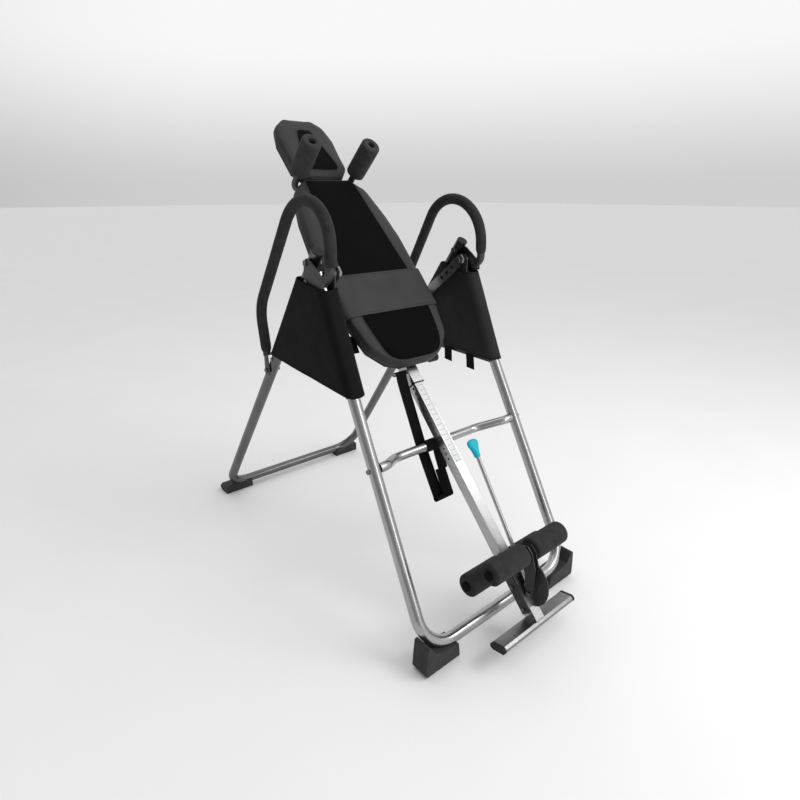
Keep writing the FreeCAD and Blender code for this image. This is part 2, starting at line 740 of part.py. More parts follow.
arms = []
axles = []
shoulder_near = 242.1
neck_near = 231.0
neck_long = 12.0
nut_near = 229.0
nut_long = 6.8
for side in SIDES:
    arm = new_body("Arm", BED, alone=False)
    arms.append(arm)
    near = SIZES["arm_x"] if side > 0 else -SIZES["arm_x"] - SIZES["arm_t"]
    shape = [(-16, 8), (-8, 20), (8, 20), (16, 8), (17, -60), (28, -215), (28, beam_low),
             (-4, beam_low), (-4, -215), (-17, -60)]
    side_plate(arm, shape, near, size("arm_t"))
    slots = [(1.0, -38.0), (2.0, -68.0), (4.0, -98.0)]
    drill(arm, "YZ_Plane", slots, 6.0, near, SIZES["arm_t"], back=True)
    drill(arm, "YZ_Plane", [(0.0, 0.0)], size("axle_r") - 0.5, near, SIZES["arm_t"], back=True)

    axle = new_body("Axle", BED, alone=False)
    axles.append(axle)
    shoulder = sketch_on(axle, "YZ_Plane", shoulder_near if side > 0 else -SIZES["axle_end"])
    circle(shoulder, 0.0, 0.0, size("axle_r"))
    feature(axle, "Pad", shoulder, size("axle_end") - shoulder_near)
    neck = sketch_on(axle, "YZ_Plane", neck_near if side > 0 else -neck_near - neck_long)
    circle(neck, 0.0, 0.0, size("axle_r") - 0.6)
    feature(axle, "Pad", neck, neck_long)
    nut = sketch_on(axle, "YZ_Plane", nut_near if side > 0 else -nut_near - nut_long)
    circle(nut, 0.0, 0.0, 11.0)
    feature(axle, "Pad", nut, nut_long)
group("hinge_arms", arms)
group("pivot_axles", axles)

# ---------------------------------------------------------------- backrest

pad_low = size("pad_face") - size("pad_t")
half = size("pad_half")
back_shape = both_ways([(95.0, 454.0), (140.0, 411.0), (168.0, 300.0), (half, 190.0),
                        (half, -65.0), (158.0, -186.0), (108.0, -240.0), (60.0, -259.0)])
pad = new_body("backrest_pad", BED)
flat_plate(pad, back_shape, value_of(pad_low), size("pad_t"))

board_shape = both_ways([(91.0, 449.0), (135.0, 407.0), (163.0, 298.0), (half - 5, 188.0),
                         (half - 5, -63.0), (152.0, -183.0), (105.0, -235.0), (58.0, -253.0)])
board_low = pad_low - size("board_t") - 0.1
backboard = new_body("backboard", BED)
flat_plate(backboard, board_shape, value_of(board_low), size("board_t"))

front_face = SIZES["boom_z"] + SIZES["outer_h"] / 2
rail_gap = value_of(board_low) - front_face
rails = []
rail_half = 120.0
rail_rise = 17.0
for middle in (190.0, -160.0):
    rail = new_body("Rail", BED, alone=False)
    rails.append(rail)
    flat_plate(rail, [(-rail_half, middle - rail_rise), (rail_half, middle - rail_rise),
                      (rail_half, middle + rail_rise), (-rail_half, middle + rail_rise)],
               front_face + 0.1, rail_gap - 0.2)
group("backrest_brackets", rails)

belt = new_body("lumbar_belt", BED)
belt_side = SIZES["pad_half"] + 0.6
belt_front = SIZES["pad_face"] + 0.6
belt_back = value_of(board_low) - 0.6
belt_sketch = sketch_on(belt, "XZ_Plane", -SIZES["belt_high"])
thick = size("belt_t")
rectangle(belt_sketch, -belt_side - thick, belt_side + thick, belt_back - 1.6, belt_front + thick)
rectangle(belt_sketch, -belt_side, belt_side, belt_back, belt_front)
feature(belt, "Pad", belt_sketch, size("belt_high") - size("belt_low"))

# ---------------------------------------------------------------- headrest

head_low = size("head_low")
head_high = size("head_high")
head_half = size("head_half")
head_shape = both_ways([(58.0, head_high), (94.0, head_high - 34), (head_half, head_high - 90),
                        (head_half - 4, head_low + 42), (72.0, head_low)])
headrest = new_body("headrest_pad", BED)
flat_plate(headrest, head_shape, value_of(pad_low), size("pad_t"))
head_inner = both_ways([(54.0, head_high - 6), (88.0, head_high - 38), (head_half - 6, head_high - 92),
                        (head_half - 10, head_low + 44), (68.0, head_low + 6)])
headboard = new_body("headrest_board", BED)
flat_plate(headboard, head_inner, value_of(board_low), size("board_t"))
stem_low = value_of(board_low) - 5.1
stems = []
for side in SIDES:
    stem = new_body("Stem", BED, alone=False)
    stems.append(stem)
    low, high = sorted([side * 32.0, side * 57.0])
    flat_plate(stem, [(low, 330), (high, 330), (high, 610), (low, 610)], stem_low, 5.0)
group("headrest_brackets", stems)

# ---------------------------------------------------------------- shoulder bar and grips

bar_level = value_of(stem_low) - 11.5
grip_x = SIZES["grip_x"]
grip_base = -104.0
grip_top = grip_base + SIZES["grip_len"]
shoulder = new_body("shoulder_bar", BED)
shoulder_path = [(-grip_x - 5, grip_top - 10), (-grip_x, bar_level),
                 (grip_x, bar_level), (grip_x + 5, grip_top - 10)]
bent_tube(shoulder, "XZ_Plane", shoulder_path, [40, 40], size("shoulder_od") / 2,
          size("shoulder_od") / 2 - 1.5, -SIZES["grip_y"])
lean = math.degrees(math.atan2(5, grip_top - 10 - bar_level))
for side in SIDES:
    base = Vector(side * (grip_x + 5 * (grip_base - bar_level) / (grip_top - 10 - bar_level)),
                  SIZES["grip_y"], grip_base)
    place = BED.multiply(Placement(base, Rotation(NORTH, side * lean)))
    grip = new_body(f"shoulder_grip_{mirrored_name(side)}", place)
    foam = sketch_on(grip, "XY_Plane")
    circle(foam, 0.0, 0.0, size("grip_od") / 2)
    circle(foam, 0.0, 0.0, size("shoulder_od") / 2 + 0.2)
    feature(grip, "Pad", foam, size("grip_len"))

# ---------------------------------------------------------------- pull pin

pin_y = size("pin_y")
housing = new_body("pin_housing", BED)
barrel = sketch_on(housing, "YZ_Plane", 20.1)
circle(barrel, pin_y, boom_z, size("pin_house_r"))
circle(barrel, pin_y, boom_z, size("pin_house_r") - 1.5)
feature(housing, "Pad", barrel, size("pin_house_end") - 20.1)
mouth = sketch_on(housing, "YZ_Plane", 92.0)
circle(mouth, pin_y, boom_z, size("pin_house_r") - 0.5)
circle(mouth, pin_y, boom_z, size("pin_r") + 0.2)
feature(housing, "Pad", mouth, 5.0)

pin = new_body("pull_pin", BED)
rod = sketch_on(pin, "YZ_Plane", 17.6)
circle(rod, pin_y, boom_z, size("pin_r"))
feature(pin, "Pad", rod, 100.0)
flange = sketch_on(pin, "YZ_Plane", 34.0)
circle(flange, pin_y, boom_z, 7.6)
feature(pin, "Pad", flange, 4.0)

spring = new_body("pin_spring", BED)
coil = sketch_on(spring, "YZ_Plane", 39.0)
circle(coil, pin_y, boom_z, 6.8)
circle(coil, pin_y, boom_z, 4.6)
feature(spring, "Pad", coil, 52.5)

knob = new_body("pull_knob", BED)
grip_end = sketch_on(knob, "YZ_Plane", 98.5)
circle(grip_end, pin_y, boom_z, 14.0)
circle(grip_end, pin_y, boom_z, size("pin_r") + 0.02)
knob_solid = feature(knob, "Pad", grip_end, 38.0)
rounded(knob, knob_solid, 4.0, lambda edge, spot: edge.Length > 60)

# ---------------------------------------------------------------- ankle clamp

rear_axle_y = size("rear_axle_y")
rear_axle_z = size("rear_axle_z")
front_axle_y = size("front_axle_y")
front_axle_z = size("front_axle_z")
clamp_y = size("clamp_y")
clamp_z = size("clamp_z")
boom_back = boom_z - size("inner_h") / 2
boom_front = boom_z + size("inner_h") / 2
side_gap = value_of(size("inner_w")) / 2 + 0.1


def arc_points(centre_y, centre_z, radius, first, last, count):
    """Points round an arc, angles in degrees."""
    points = []
    for index in range(count):
        turn = math.radians(first + (last - first) * index / (count - 1))
        points.append((centre_y + radius * math.cos(turn), centre_z + radius * math.sin(turn)))
    return points


sector_shape = [(-1052, -215), (-926, -215), (-926, -142)]
sector_shape += arc_points(-968, -182, 84, 70, 187, 10)
doubler_shape = [(-1052, -215), (-926, -215), (-926, -182), (-1052, -182)]
for side, shape in ((1, sector_shape), (-1, doubler_shape)):
    name = mirrored_name(side)
    plate = new_body(f"clamp_bracket_{name}", BED)
    near = side_gap if side > 0 else -side_gap - 3.0
    side_plate(plate, shape, near, 3.0)
    if side > 0:
        drill(plate, "YZ_Plane", [(clamp_y, clamp_z)], size("clamp_bolt_r") + 0.1, near, 3.0, back=True)
        drill(plate, "YZ_Plane", [(-948, -150), (-953, -161)], 2.5, near, 3.0, back=True)

axle_half = 27.0 + SIZES["roller_len"] + 2
rear_axle = new_body("rear_roller_axle", BED)
neck = sketch_on(rear_axle, "YZ_Plane", -25.0)
circle(neck, rear_axle_y, rear_axle_z, size("roller_axle_od") / 2 - 4.1)
feature(rear_axle, "Pad", neck, 50.0)
for side in SIDES:
    stub = sketch_on(rear_axle, "YZ_Plane", 21.0 if side > 0 else -axle_half)
    circle(stub, rear_axle_y, rear_axle_z, size("roller_axle_od") / 2)
    feature(rear_axle, "Pad", stub, axle_half - 21)

front_half = 17.0 + SIZES["roller_len"] + 2
front_axle = new_body("front_roller_axle", BED)
rod = sketch_on(front_axle, "YZ_Plane", -front_half)
circle(rod, front_axle_y, front_axle_z, size("roller_axle_od") / 2)
feature(front_axle, "Pad", rod, 2 * front_half)


def roller(label, near, along, up):
    """Foam ankle roller, a thick sleeve that turns on its axle."""
    body = new_body(label, BED)
    ring = sketch_on(body, "YZ_Plane", near)
    circle(ring, along, up, size("roller_od") / 2)
    circle(ring, along, up, size("roller_bore") / 2)
    feature(body, "Pad", ring, size("roller_len"))
    return body


for side in SIDES:
    name = mirrored_name(side)
    near = 27.0 if side > 0 else -27.0 - SIZES["roller_len"]
    roller(f"rear_roller_{name}", near, rear_axle_y, rear_axle_z)
    near = 17.0 if side > 0 else -17.0 - SIZES["roller_len"]
    roller(f"front_roller_{name}", near, front_axle_y, front_axle_z)

for label, half_length, along, up in (
        ("rear_axle_caps", axle_half, SIZES["rear_axle_y"], SIZES["rear_axle_z"]),
        ("front_axle_caps", front_half, SIZES["front_axle_y"], SIZES["front_axle_z"])):
    caps = []
    for side in SIDES:
        start = Vector(side * (half_length + 0.1), along, up)
        caps.append(cylinder(13.0, 4.0, start, EAST * side))
    group(label, caps, BED)

arm_t = 3.0
lever_x = 5.5
hub_half = 6.4
arm_shape = [(-1013, -170), (-1005, -178), (-996, -177)]
arm_shape += [(-940, -138), (-904, -120), (-880, -116), (-874, -101), (-884, -82), (-905, -80)]
arm_shape += [(-950, -100), (-990, -138), (-1010, -163)]
clamp_arms = []
for side in SIDES:
    plate = new_body("Arm", BED, alone=False)
    clamp_arms.append(plate)
    near = lever_x + hub_half + 0.1 if side > 0 else lever_x - hub_half - 0.1 - arm_t
    side_plate(plate, arm_shape, near, arm_t)
    drill(plate, "YZ_Plane", [(clamp_y, clamp_z)], size("clamp_bolt_r") + 0.1, near, arm_t, back=True)
    drill(plate, "YZ_Plane", [(front_axle_y, front_axle_z)], size("roller_axle_od") / 2 + 0.02, near, arm_t,
          back=True)
group("clamp_arms", clamp_arms)

lever_place = BED.multiply(Placement(Vector(lever_x, SIZES["clamp_y"], SIZES["clamp_z"]),
                                     Rotation(EAST, SIZES["lever_lean"])))
lever = new_body("lever_rod", lever_place)
bar = sketch_on(lever, "XZ_Plane", -value_of(size("lever_len")))
circle(bar, 0.0, 3.0, size("lever_od") / 2)
feature(lever, "Pad", bar, size("lever_len") - 22)
hub = sketch_on(lever, "YZ_Plane", -hub_half)
outline(hub, [(-8.0, -6.0), (6.0, -8.0), (30.0, -5.5), (30.0, 11.5), (4.0, 10.0), (-7.0, 5.0)])
feature(lever, "Pad", hub, 2 * hub_half)
drill(lever, "YZ_Plane", [(0.0, 0.0)], size("clamp_bolt_r") + 0.1, -20.0, 40.0, back=True)

paddle = new_body("lever_knob", lever_place)
blade = sketch_on(paddle, "XY_Plane", -4.5)
lever_end = size("lever_len")
outline(blade, both_ways([(8.0, lever_end - 8), (20.0, lever_end + 22),
                          (17.0, lever_end + 40), (6.0, lever_end + 46)]))
feature(paddle, "Pad", blade, 15.0)
socket = sketch_on(paddle, "XZ_Plane", -value_of(lever_end) - 12)
circle(socket, 0.0, 3.0, size("lever_od") / 2 + 0.02)
feature(paddle, "Pocket", socket, 40.0, back=True)

bolt_low = lever_x - hub_half - arm_t - 0.4
clamp_bolt = cross_bolt(bolt_low, side_gap + 3.3, SIZES["clamp_y"], SIZES["clamp_z"],
                        size("clamp_bolt_r"), 7.5, 4.0)
spacer_low = lever_x + hub_half + arm_t + 0.2
clamp_spacer = cylinder(7.0, side_gap - 0.1 - spacer_low,
                        Vector(spacer_low, SIZES["clamp_y"], SIZES["clamp_z"]), EAST)
plate_bolts = [joined([clamp_bolt, clamp_spacer])]
for along in (-972.0, -1039.0):
    plate_bolts.append(cross_bolt(-20.4, 20.4, along, SIZES["boom_z"] - 4, 3.5, 6.5, 4.0))
group("clamp_bolts", plate_bolts, BED)

# ---------------------------------------------------------------- footrest

foot_turn = 31.0
foot_centre = Vector(0, -1081.0, -204.0)
foot_place = BED.multiply(Placement(foot_centre, Rotation(EAST, foot_turn)))
footrest = new_body("footrest_bar", foot_place)
foot_w = size("foot_w")
foot_h = size("foot_h")
bar = sketch_on(footrest, "YZ_Plane", -SIZES["foot_half"])
edge = 6.0
outline(bar, [(-foot_h / 2, edge - foot_w / 2), (edge - foot_h / 2, -foot_w / 2),
              (foot_h / 2 - edge, -foot_w / 2), (foot_h / 2, edge - foot_w / 2),
              (foot_h / 2, foot_w / 2 - edge), (foot_h / 2 - edge, foot_w / 2),
              (edge - foot_h / 2, foot_w / 2), (-foot_h / 2, foot_w / 2 - edge)])
rectangle(bar, 1.5 - foot_h / 2, foot_h / 2 - 1.5, edge - foot_w / 2, foot_w / 2 - edge)
feature(footrest, "Pad", bar, size("foot_half") * 2)
caps = []
for side in SIDES:
    cap = new_body("Cap", foot_place, alone=False)
    caps.append(cap)
    start = SIZES["foot_half"] + 0.1 if side > 0 else -SIZES["foot_half"] - 8.1
    end = sketch_on(cap, "YZ_Plane", start)
    grow = 0.6
    outline(end, [(-foot_h / 2 - grow, edge - foot_w / 2), (edge - foot_h / 2, -foot_w / 2 - grow),
                  (foot_h / 2 - edge, -foot_w / 2 - grow), (foot_h / 2 + grow, edge - foot_w / 2),
                  (foot_h / 2 + grow, foot_w / 2 - edge), (foot_h / 2 - edge, foot_w / 2 + grow),
                  (edge - foot_h / 2, foot_w / 2 + grow), (-foot_h / 2 - grow, foot_w / 2 - edge)])
    feature(cap, "Pad", end, 8.0)
group("footrest_caps", caps)

seat = new_body("footrest_bracket", BED)
seat_face = value_of(boom_front) + 0.1
seat_half = 16.8
seat_shape = [(-1056.3, value_of(boom_back)), (-1056.3, seat_face + 3), (-1080.0, seat_face + 3),
              (-1083.0, seat_face - 0.4), (-1063.0, value_of(boom_back) + 2.2)]
side_plate(seat, seat_shape, -seat_half, 2 * seat_half)
web = sketch_on(seat, "XY_Plane", seat_face)
rectangle(web, -seat_half, seat_half, -1070.0, -1038.0)
feature(seat, "Pad", web, 3.0)

# ---------------------------------------------------------------- tether strap

anchor_y = -262.0
anchor_z = -187.0
anchor = new_body("strap_anchor", BED)
for near, radius, length in ((-69.0, 4.0, 48.9), (-72.0, 7.0, 3.0), (-24.0, 7.0, 3.9)):
    rod = sketch_on(anchor, "YZ_Plane", near)
    circle(rod, anchor_y, anchor_z, radius)
    feature(anchor, "Pad", rod, length)

strap_t = 2.4
strap_low = -66.0
strap_high = -26.0


def strap_outline(points, thick):
    """Both faces of a webbing strap that follows the points."""
    left = []
    right = []
    for index, point in enumerate(points):
        before = points[max(index - 1, 0)]
        after = points[min(index + 1, len(points) - 1)]
        run = Vector(after[0] - before[0], after[1] - before[1], 0).normalize()
        left.append((point[0] - run.y * thick / 2, point[1] + run.x * thick / 2))
        right.append((point[0] + run.y * thick / 2, point[1] - run.x * thick / 2))
    return left + right[::-1]


def strap_sleeve(centre, inner, thick, low, high):
    """Sewn loop of the strap round a bar, as a ring."""
    body = new_body("Sleeve", SIDE, alone=False)
    ring = sketch_on(body, "YZ_Plane", low)
    circle(ring, centre.y - apex_y, centre.z, inner + thick)
    circle(ring, centre.y - apex_y, centre.z, inner)
    feature(body, "Pad", ring, high - low)
    return body


def strap_run(line, thick, low, high):
    """One run of the webbing between two places across X."""
    body = new_body("Webbing", SIDE, alone=False)
    side_plate(body, strap_outline(line, thick), low, high - low)
    return body


fold_high = 4.0
sleeve_t = 4.4
bar_centre = bar_place.multVec(Vector(0, bow, 0))
runs = [
    strap_run([(-95.3, 684), (-104, 655), (-150, 560), (-194.8, 468), (-238, 393), (-274, 331)],
              strap_t, strap_low, strap_high),
    strap_run([(-274, 333), (-274.5, 328), (-279, 323), (-287, 324), (-290, 330), (-289, 336)],
              strap_t, strap_low, fold_high),
    strap_run([(-289, 333), (-268, 372), (-249, 408)], 2 * strap_t, -36.0, fold_high),
    strap_run([(-251, 404), (-230, 448), (-224.5, 464.5)], strap_t, -24.0, 14.0),
    strap_sleeve(BED.multVec(Vector(0, anchor_y, anchor_z)), 4.4, strap_t, strap_low, strap_high),
    strap_sleeve(bar_centre, value_of(size("bar_od") / 2) + 0.6, sleeve_t, -50.0, 20.0),
]
group("tether_strap", runs)

# ---------------------------------------------------------------- check and write

doc.recompute()
problems = [item.Label for item in doc.Objects if "Invalid" in item.State or "Error" in item.State]
problems += [item.Label for item in nodes if item.Shape.isNull() or not item.Shape.isValid()]
if problems:
    raise SystemExit(f"failed objects: {sorted(set(problems))}")

os.makedirs("parts", exist_ok=True)
whole = FreeCAD.BoundBox()
for item in nodes:
    item.Shape.exportStep(os.path.join("parts", f"{item.Label}.step"))
    whole.add(item.Shape.BoundBox)
    print(f"{item.Label:26s} {item.Shape.Volume / 1000:9.1f} cm3, {len(item.Shape.Solids)} solids")
print(f"{len(nodes)} nodes, box {whole}")
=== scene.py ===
"""Looks of the inversion table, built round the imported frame.

Everything is in metres in the frame of the CAD: +Z up, -Y towards the foot end.
The bed has a frame of its own: X across, then up the bed, then out of the padding.
"""

import json
import math

import bpy
from mathutils import Euler, Matrix, Vector, noise
from mathutils.bvhtree import BVHTree


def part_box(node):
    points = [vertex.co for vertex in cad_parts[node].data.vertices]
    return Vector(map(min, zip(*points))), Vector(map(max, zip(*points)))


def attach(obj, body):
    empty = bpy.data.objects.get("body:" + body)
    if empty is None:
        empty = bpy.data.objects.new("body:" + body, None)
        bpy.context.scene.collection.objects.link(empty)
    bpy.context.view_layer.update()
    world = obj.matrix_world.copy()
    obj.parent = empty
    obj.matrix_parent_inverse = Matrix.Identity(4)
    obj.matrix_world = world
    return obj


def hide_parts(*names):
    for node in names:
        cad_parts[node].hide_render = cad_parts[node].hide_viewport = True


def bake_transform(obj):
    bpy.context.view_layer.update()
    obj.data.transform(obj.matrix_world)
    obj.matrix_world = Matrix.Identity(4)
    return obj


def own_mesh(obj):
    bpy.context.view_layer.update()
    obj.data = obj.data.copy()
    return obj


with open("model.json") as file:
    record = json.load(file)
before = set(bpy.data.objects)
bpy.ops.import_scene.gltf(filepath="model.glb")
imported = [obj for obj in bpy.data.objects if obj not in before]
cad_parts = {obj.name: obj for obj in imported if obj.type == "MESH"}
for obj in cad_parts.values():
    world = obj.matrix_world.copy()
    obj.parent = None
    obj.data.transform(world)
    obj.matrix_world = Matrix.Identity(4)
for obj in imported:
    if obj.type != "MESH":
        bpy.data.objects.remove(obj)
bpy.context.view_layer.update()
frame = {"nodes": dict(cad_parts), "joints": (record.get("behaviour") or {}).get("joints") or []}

nodes = frame["nodes"]
joints = {joint["name"]: joint for joint in frame["joints"]}
MM = 0.001
SIDES = (("left", -1), ("right", 1))

# ---- the bed's own frame

EAST = Vector((1, 0, 0))
PIVOT = Vector(joints["table_tilt"]["pos_m"])
UP_BED = Vector(joints["boom_slide"]["axis"]).normalized()
OUT = EAST.cross(UP_BED)
BED = Matrix.Translation(PIVOT) @ Matrix((EAST, UP_BED, OUT)).transposed().to_4x4()
BED_INVERSE = BED.inverted()
BED_TURN = math.atan2(UP_BED.z, UP_BED.y)

# Place of the leg frames' apex along Y in millimetres: the sleeves and the strap are measured from it.
APEX_BEHIND_PIVOT = 50.0
APEX_Y = PIVOT.y / MM + APEX_BEHIND_PIVOT


def bed(across, along, out):
    """Point of the bed's frame, in millimetres, as a world point in metres."""
    return BED @ (Vector((across, along, out)) * MM)


def box_round(points):
    """Lowest and highest corner of the box round some points."""
    low = Vector([min(point[axis] for point in points) for axis in range(3)])
    high = Vector([max(point[axis] for point in points) for axis in range(3)])
    return low, high


def bed_box(node):
    """Lowest and highest corner of a CAD node in the bed's frame, in millimetres."""
    return box_round([BED_INVERSE @ vertex.co / MM for vertex in nodes[node].data.vertices])


# ---- materials

def add_node(tree, kind, inputs, **settings):
    """New shader node; each input takes a value, or a link when it is given a socket."""
    item = tree.nodes.new(kind)
    for key, value in settings.items():
        setattr(item, key, value)
    for socket, value in inputs.items():
        if isinstance(value, bpy.types.NodeSocket):
            tree.links.new(value, item.inputs[socket])
        else:
            item.inputs[socket].default_value = value
    return item


class Finish:
    """A material whose colour, roughness and bump come from procedural nodes."""

    def __init__(self, name, roughness, metallic=0.0, gloss=0.5, **extra):
        self.material = bpy.data.materials.new(name)
        self.material.use_nodes = True
        self.tree = self.material.node_tree
        self.shader = self.tree.nodes["Principled BSDF"]
        self.shader.inputs["Roughness"].default_value = roughness
        self.shader.inputs["Metallic"].default_value = metallic
        self.shader.inputs["Specular IOR Level"].default_value = gloss
        for socket, value in extra.items():
            self.shader.inputs[socket.replace("_", " ")].default_value = value
        self.place = self.node("ShaderNodeTexCoord", {}).outputs["Object"]
        self.height = None

    def node(self, kind, inputs, **settings):
        return add_node(self.tree, kind, inputs, **settings)

    def link(self, output, target):
        self.tree.links.new(output, target)

    def mapped(self, turn=(0.0, 0.0, 0.0), scale=(1.0, 1.0, 1.0)):
        """Object coordinates turned and stretched."""
        inputs = {"Rotation": turn, "Scale": scale, "Vector": self.place}
        return self.node("ShaderNodeMapping", inputs).outputs["Vector"]

    def noise(self, scale, detail=4.0, rough=0.55, place=None):
        inputs = {"Scale": scale, "Detail": detail, "Roughness": rough, "Vector": place or self.place}
        return self.node("ShaderNodeTexNoise", inputs).outputs["Fac"]

    def cells(self, scale, feature="F1"):
        inputs = {"Scale": scale, "Vector": self.place}
        return self.node("ShaderNodeTexVoronoi", inputs, feature=feature).outputs["Distance"]

    def bands(self, scale, axis, place):
        """Straight ridges across one axis of the given coordinates."""
        inputs = {"Scale": scale, "Distortion": 0.4, "Detail": 1.0, "Vector": place}
        item = self.node("ShaderNodeTexWave", inputs, wave_type="BANDS", bands_direction=axis)
        return item.outputs["Fac"]

    def maths(self, operation, first, second):
        return self.node("ShaderNodeMath", {0: first, 1: second}, operation=operation).outputs["Value"]

    def ramp(self, source, stops):
        """Colours along a value, stops being (place, colour)."""
        item = self.node("ShaderNodeValToRGB", {"Fac": source})
        ramp = item.color_ramp
        while len(ramp.elements) < len(stops):
            ramp.elements.new(0.5)
        for element, (spot, colour) in zip(ramp.elements, stops):
            element.position = spot
            element.color = (*colour, 1.0)
        return item.outputs["Color"]

    def colour(self, source, dark, light, low=0.3, high=0.7):
        """Base colour between two shades along a value."""
        self.link(self.ramp(source, [(low, dark), (high, light)]), self.shader.inputs["Base Color"])

    def rough_between(self, source, low, high):
        item = self.node("ShaderNodeMapRange", {"To Min": low, "To Max": high, "Value": source})
        self.link(item.outputs["Result"], self.shader.inputs["Roughness"])

    def bump(self, source, depth):
        """Add one layer of relief, depth in metres, over the layers before it."""
        item = self.node("ShaderNodeBump", {"Distance": depth, "Strength": 1.0, "Height": source})
        if self.height is not None:
            self.link(self.height, item.inputs["Normal"])
        self.height = item.outputs["Normal"]
        self.link(self.height, self.shader.inputs["Normal"])


def grey(level, blue=0.0):
    return (level, level, level + blue)


def painted_steel(name, dark, light, roughness, metallic=0.85):
    """Tube paint with a metallic flake, faint orange peel and long run marks."""
    finish = Finish(name, roughness, metallic)
    flake = finish.noise(1400.0, 2.0)
    drift = finish.noise(9.0, 3.0)
    finish.colour(finish.maths("ADD", finish.maths("MULTIPLY", flake, 0.35),
                               finish.maths("MULTIPLY", drift, 0.65)), dark, light)
    finish.rough_between(drift, roughness - 0.06, roughness + 0.08)
    finish.bump(finish.noise(420.0, 2.0), 0.00006)
    return finish.material


def plated_steel(name, dark, light, roughness, turn=BED_TURN):
    """Bright plating with fine drawing lines along the bed."""
    finish = Finish(name, roughness, 1.0)
    drawn = finish.noise(260.0, 3.0, place=finish.mapped((-turn, 0, 0), (1.0, 0.03, 1.0)))
    finish.colour(drawn, dark, light)
    finish.rough_between(finish.noise(14.0, 3.0), roughness - 0.05, roughness + 0.1)
    finish.bump(drawn, 0.000015)
    return finish.material


def moulded_plastic(name, dark, light, roughness, grain=900.0, depth=0.00012, gloss=0.25):
    """Plastic with a fine spark texture."""
    finish = Finish(name, roughness, gloss=gloss)
    finish.colour(finish.noise(30.0, 4.0), dark, light)
    finish.rough_between(finish.noise(60.0), roughness - 0.06, roughness + 0.08)
    finish.bump(finish.noise(grain, 3.0), depth)
    return finish.material


def foam_rubber(name, dark, light):
    """Closed-cell foam: open pores, soft mottling and a dry surface."""
    finish = Finish(name, 0.86, gloss=0.15, Sheen_Weight=0.03, Sheen_Roughness=0.5)
    mottle = finish.noise(42.0, 5.0)
    finish.colour(mottle, dark, light)
    finish.rough_between(mottle, 0.78, 0.94)
    finish.bump(finish.cells(1300.0), 0.00022)
    finish.bump(finish.noise(240.0, 4.0), 0.0003)
    return finish.material


def vinyl(name, dark, light):
    """Upholstery vinyl: pebbled grain with fine creases between the pebbles."""
    finish = Finish(name, 0.55, gloss=0.16)
    drift = finish.noise(7.0, 4.0)
    finish.colour(drift, dark, light)
    finish.rough_between(finish.noise(55.0), 0.5, 0.66)
    finish.bump(finish.cells(620.0, "SMOOTH_F1"), 0.00035)
    finish.bump(finish.noise(90.0, 5.0), 0.0002)
    return finish.material


def woven(name, dark, light, roughness, threads, turn=(0.0, 0.0, 0.0), axes=("X", "Y"), depth=0.0003,
          sheen=0.2):
    """Cloth woven of two crossing sets of threads."""
    finish = Finish(name, roughness, gloss=0.08, Sheen_Weight=sheen, Sheen_Roughness=0.4)
    place = finish.mapped(turn)
    warp = finish.bands(threads, axes[0], place)
    weft = finish.bands(threads, axes[1], place)
    weave = finish.maths("MULTIPLY", warp, weft)
    mix = finish.maths("ADD", finish.maths("MULTIPLY", weave, 0.5),
                       finish.maths("MULTIPLY", finish.noise(12.0, 5.0), 0.6))
    finish.colour(mix, dark, light, 0.2, 0.85)
    finish.bump(weave, depth)
    finish.bump(finish.noise(35.0, 4.0), 0.0006)
    return finish.material


def board_paint(name):
    """Black-stained board with its long grain showing through."""
    finish = Finish(name, 0.62, gloss=0.2)
    grain = finish.noise(60.0, 6.0, place=finish.mapped((-BED_TURN, 0, 0), (1.0, 0.06, 1.0)))
    finish.colour(grain, (0.018, 0.016, 0.015), (0.05, 0.045, 0.04))
    finish.bump(grain, 0.0004)
    return finish.material


def scale_film(name):
    """Printed film of the height scale: a brushed silver ground."""
    finish = Finish(name, 0.38, 0.35)
    finish.colour(finish.noise(500.0, 2.0), grey(0.50), grey(0.60))
    finish.bump(finish.noise(900.0, 2.0), 0.00003)
    return finish.material


# The rear frame's tube paint is most likely the same paint as STEEL, and the right cover's cloth the same
# cloth as COVER, on the real object. Each copy is set apart to match the tone that it has in the photograph:
# the rear frame's copy is darker, which is painted shade, and the right cover's copy is lighter, which is
# painted light.
STEEL = painted_steel("silver_tube", grey(0.34, 0.003), grey(0.46, 0.004), 0.25, 1.0)
# Darker copy of the tube paint, for painted shade on the rear frame.
STEEL_PAINTED_SHADE = painted_steel("silver_tube_painted_shade", grey(0.11, 0.003), grey(0.18, 0.004), 0.29, 1.0)
BRIGHT = plated_steel("bright_plate", grey(0.37), grey(0.47), 0.27)
CHROME = plated_steel("chrome_plate", grey(0.55), grey(0.75), 0.14)
BOLT = plated_steel("zinc_bolt", grey(0.12), grey(0.24), 0.4)
BAR = plated_steel("satin_bar", grey(0.21), grey(0.27), 0.3, 0.0)
ARM = plated_steel("zinc_arm", grey(0.20), grey(0.34), 0.32)
DARK = painted_steel("dark_plate_paint", grey(0.03), grey(0.05), 0.42, 0.3)
PLATE = painted_steel("grey_plate_paint", grey(0.045), grey(0.08), 0.42, 0.6)
RUBBER = moulded_plastic("foot_plastic", grey(0.026), grey(0.044), 0.6, 700.0, 0.0003, 0.2)
CAP = moulded_plastic("cap_plastic", grey(0.006), grey(0.012), 0.5)
JET = moulded_plastic("axle_cap_plastic", grey(0.001), grey(0.002), 0.7, gloss=0.1)
NYLON = moulded_plastic("nylon", (0.55, 0.53, 0.48), (0.66, 0.64, 0.6), 0.5)
TEAL = moulded_plastic("teal_plastic", (0.0, 0.40, 0.52), (0.0, 0.47, 0.60), 0.4, 1200.0, 0.00006)
FOAM = foam_rubber("foam_sleeve", grey(0.022), grey(0.038))
GRIP = foam_rubber("grip_foam", grey(0.034), grey(0.054))
BORDER = vinyl("border_vinyl", grey(0.038), grey(0.050))
PANEL = woven("panel_mesh", grey(0.0015), grey(0.005), 0.9, 420.0, turn=(-BED_TURN, 0, 0), depth=0.00035,
              sheen=0.01)
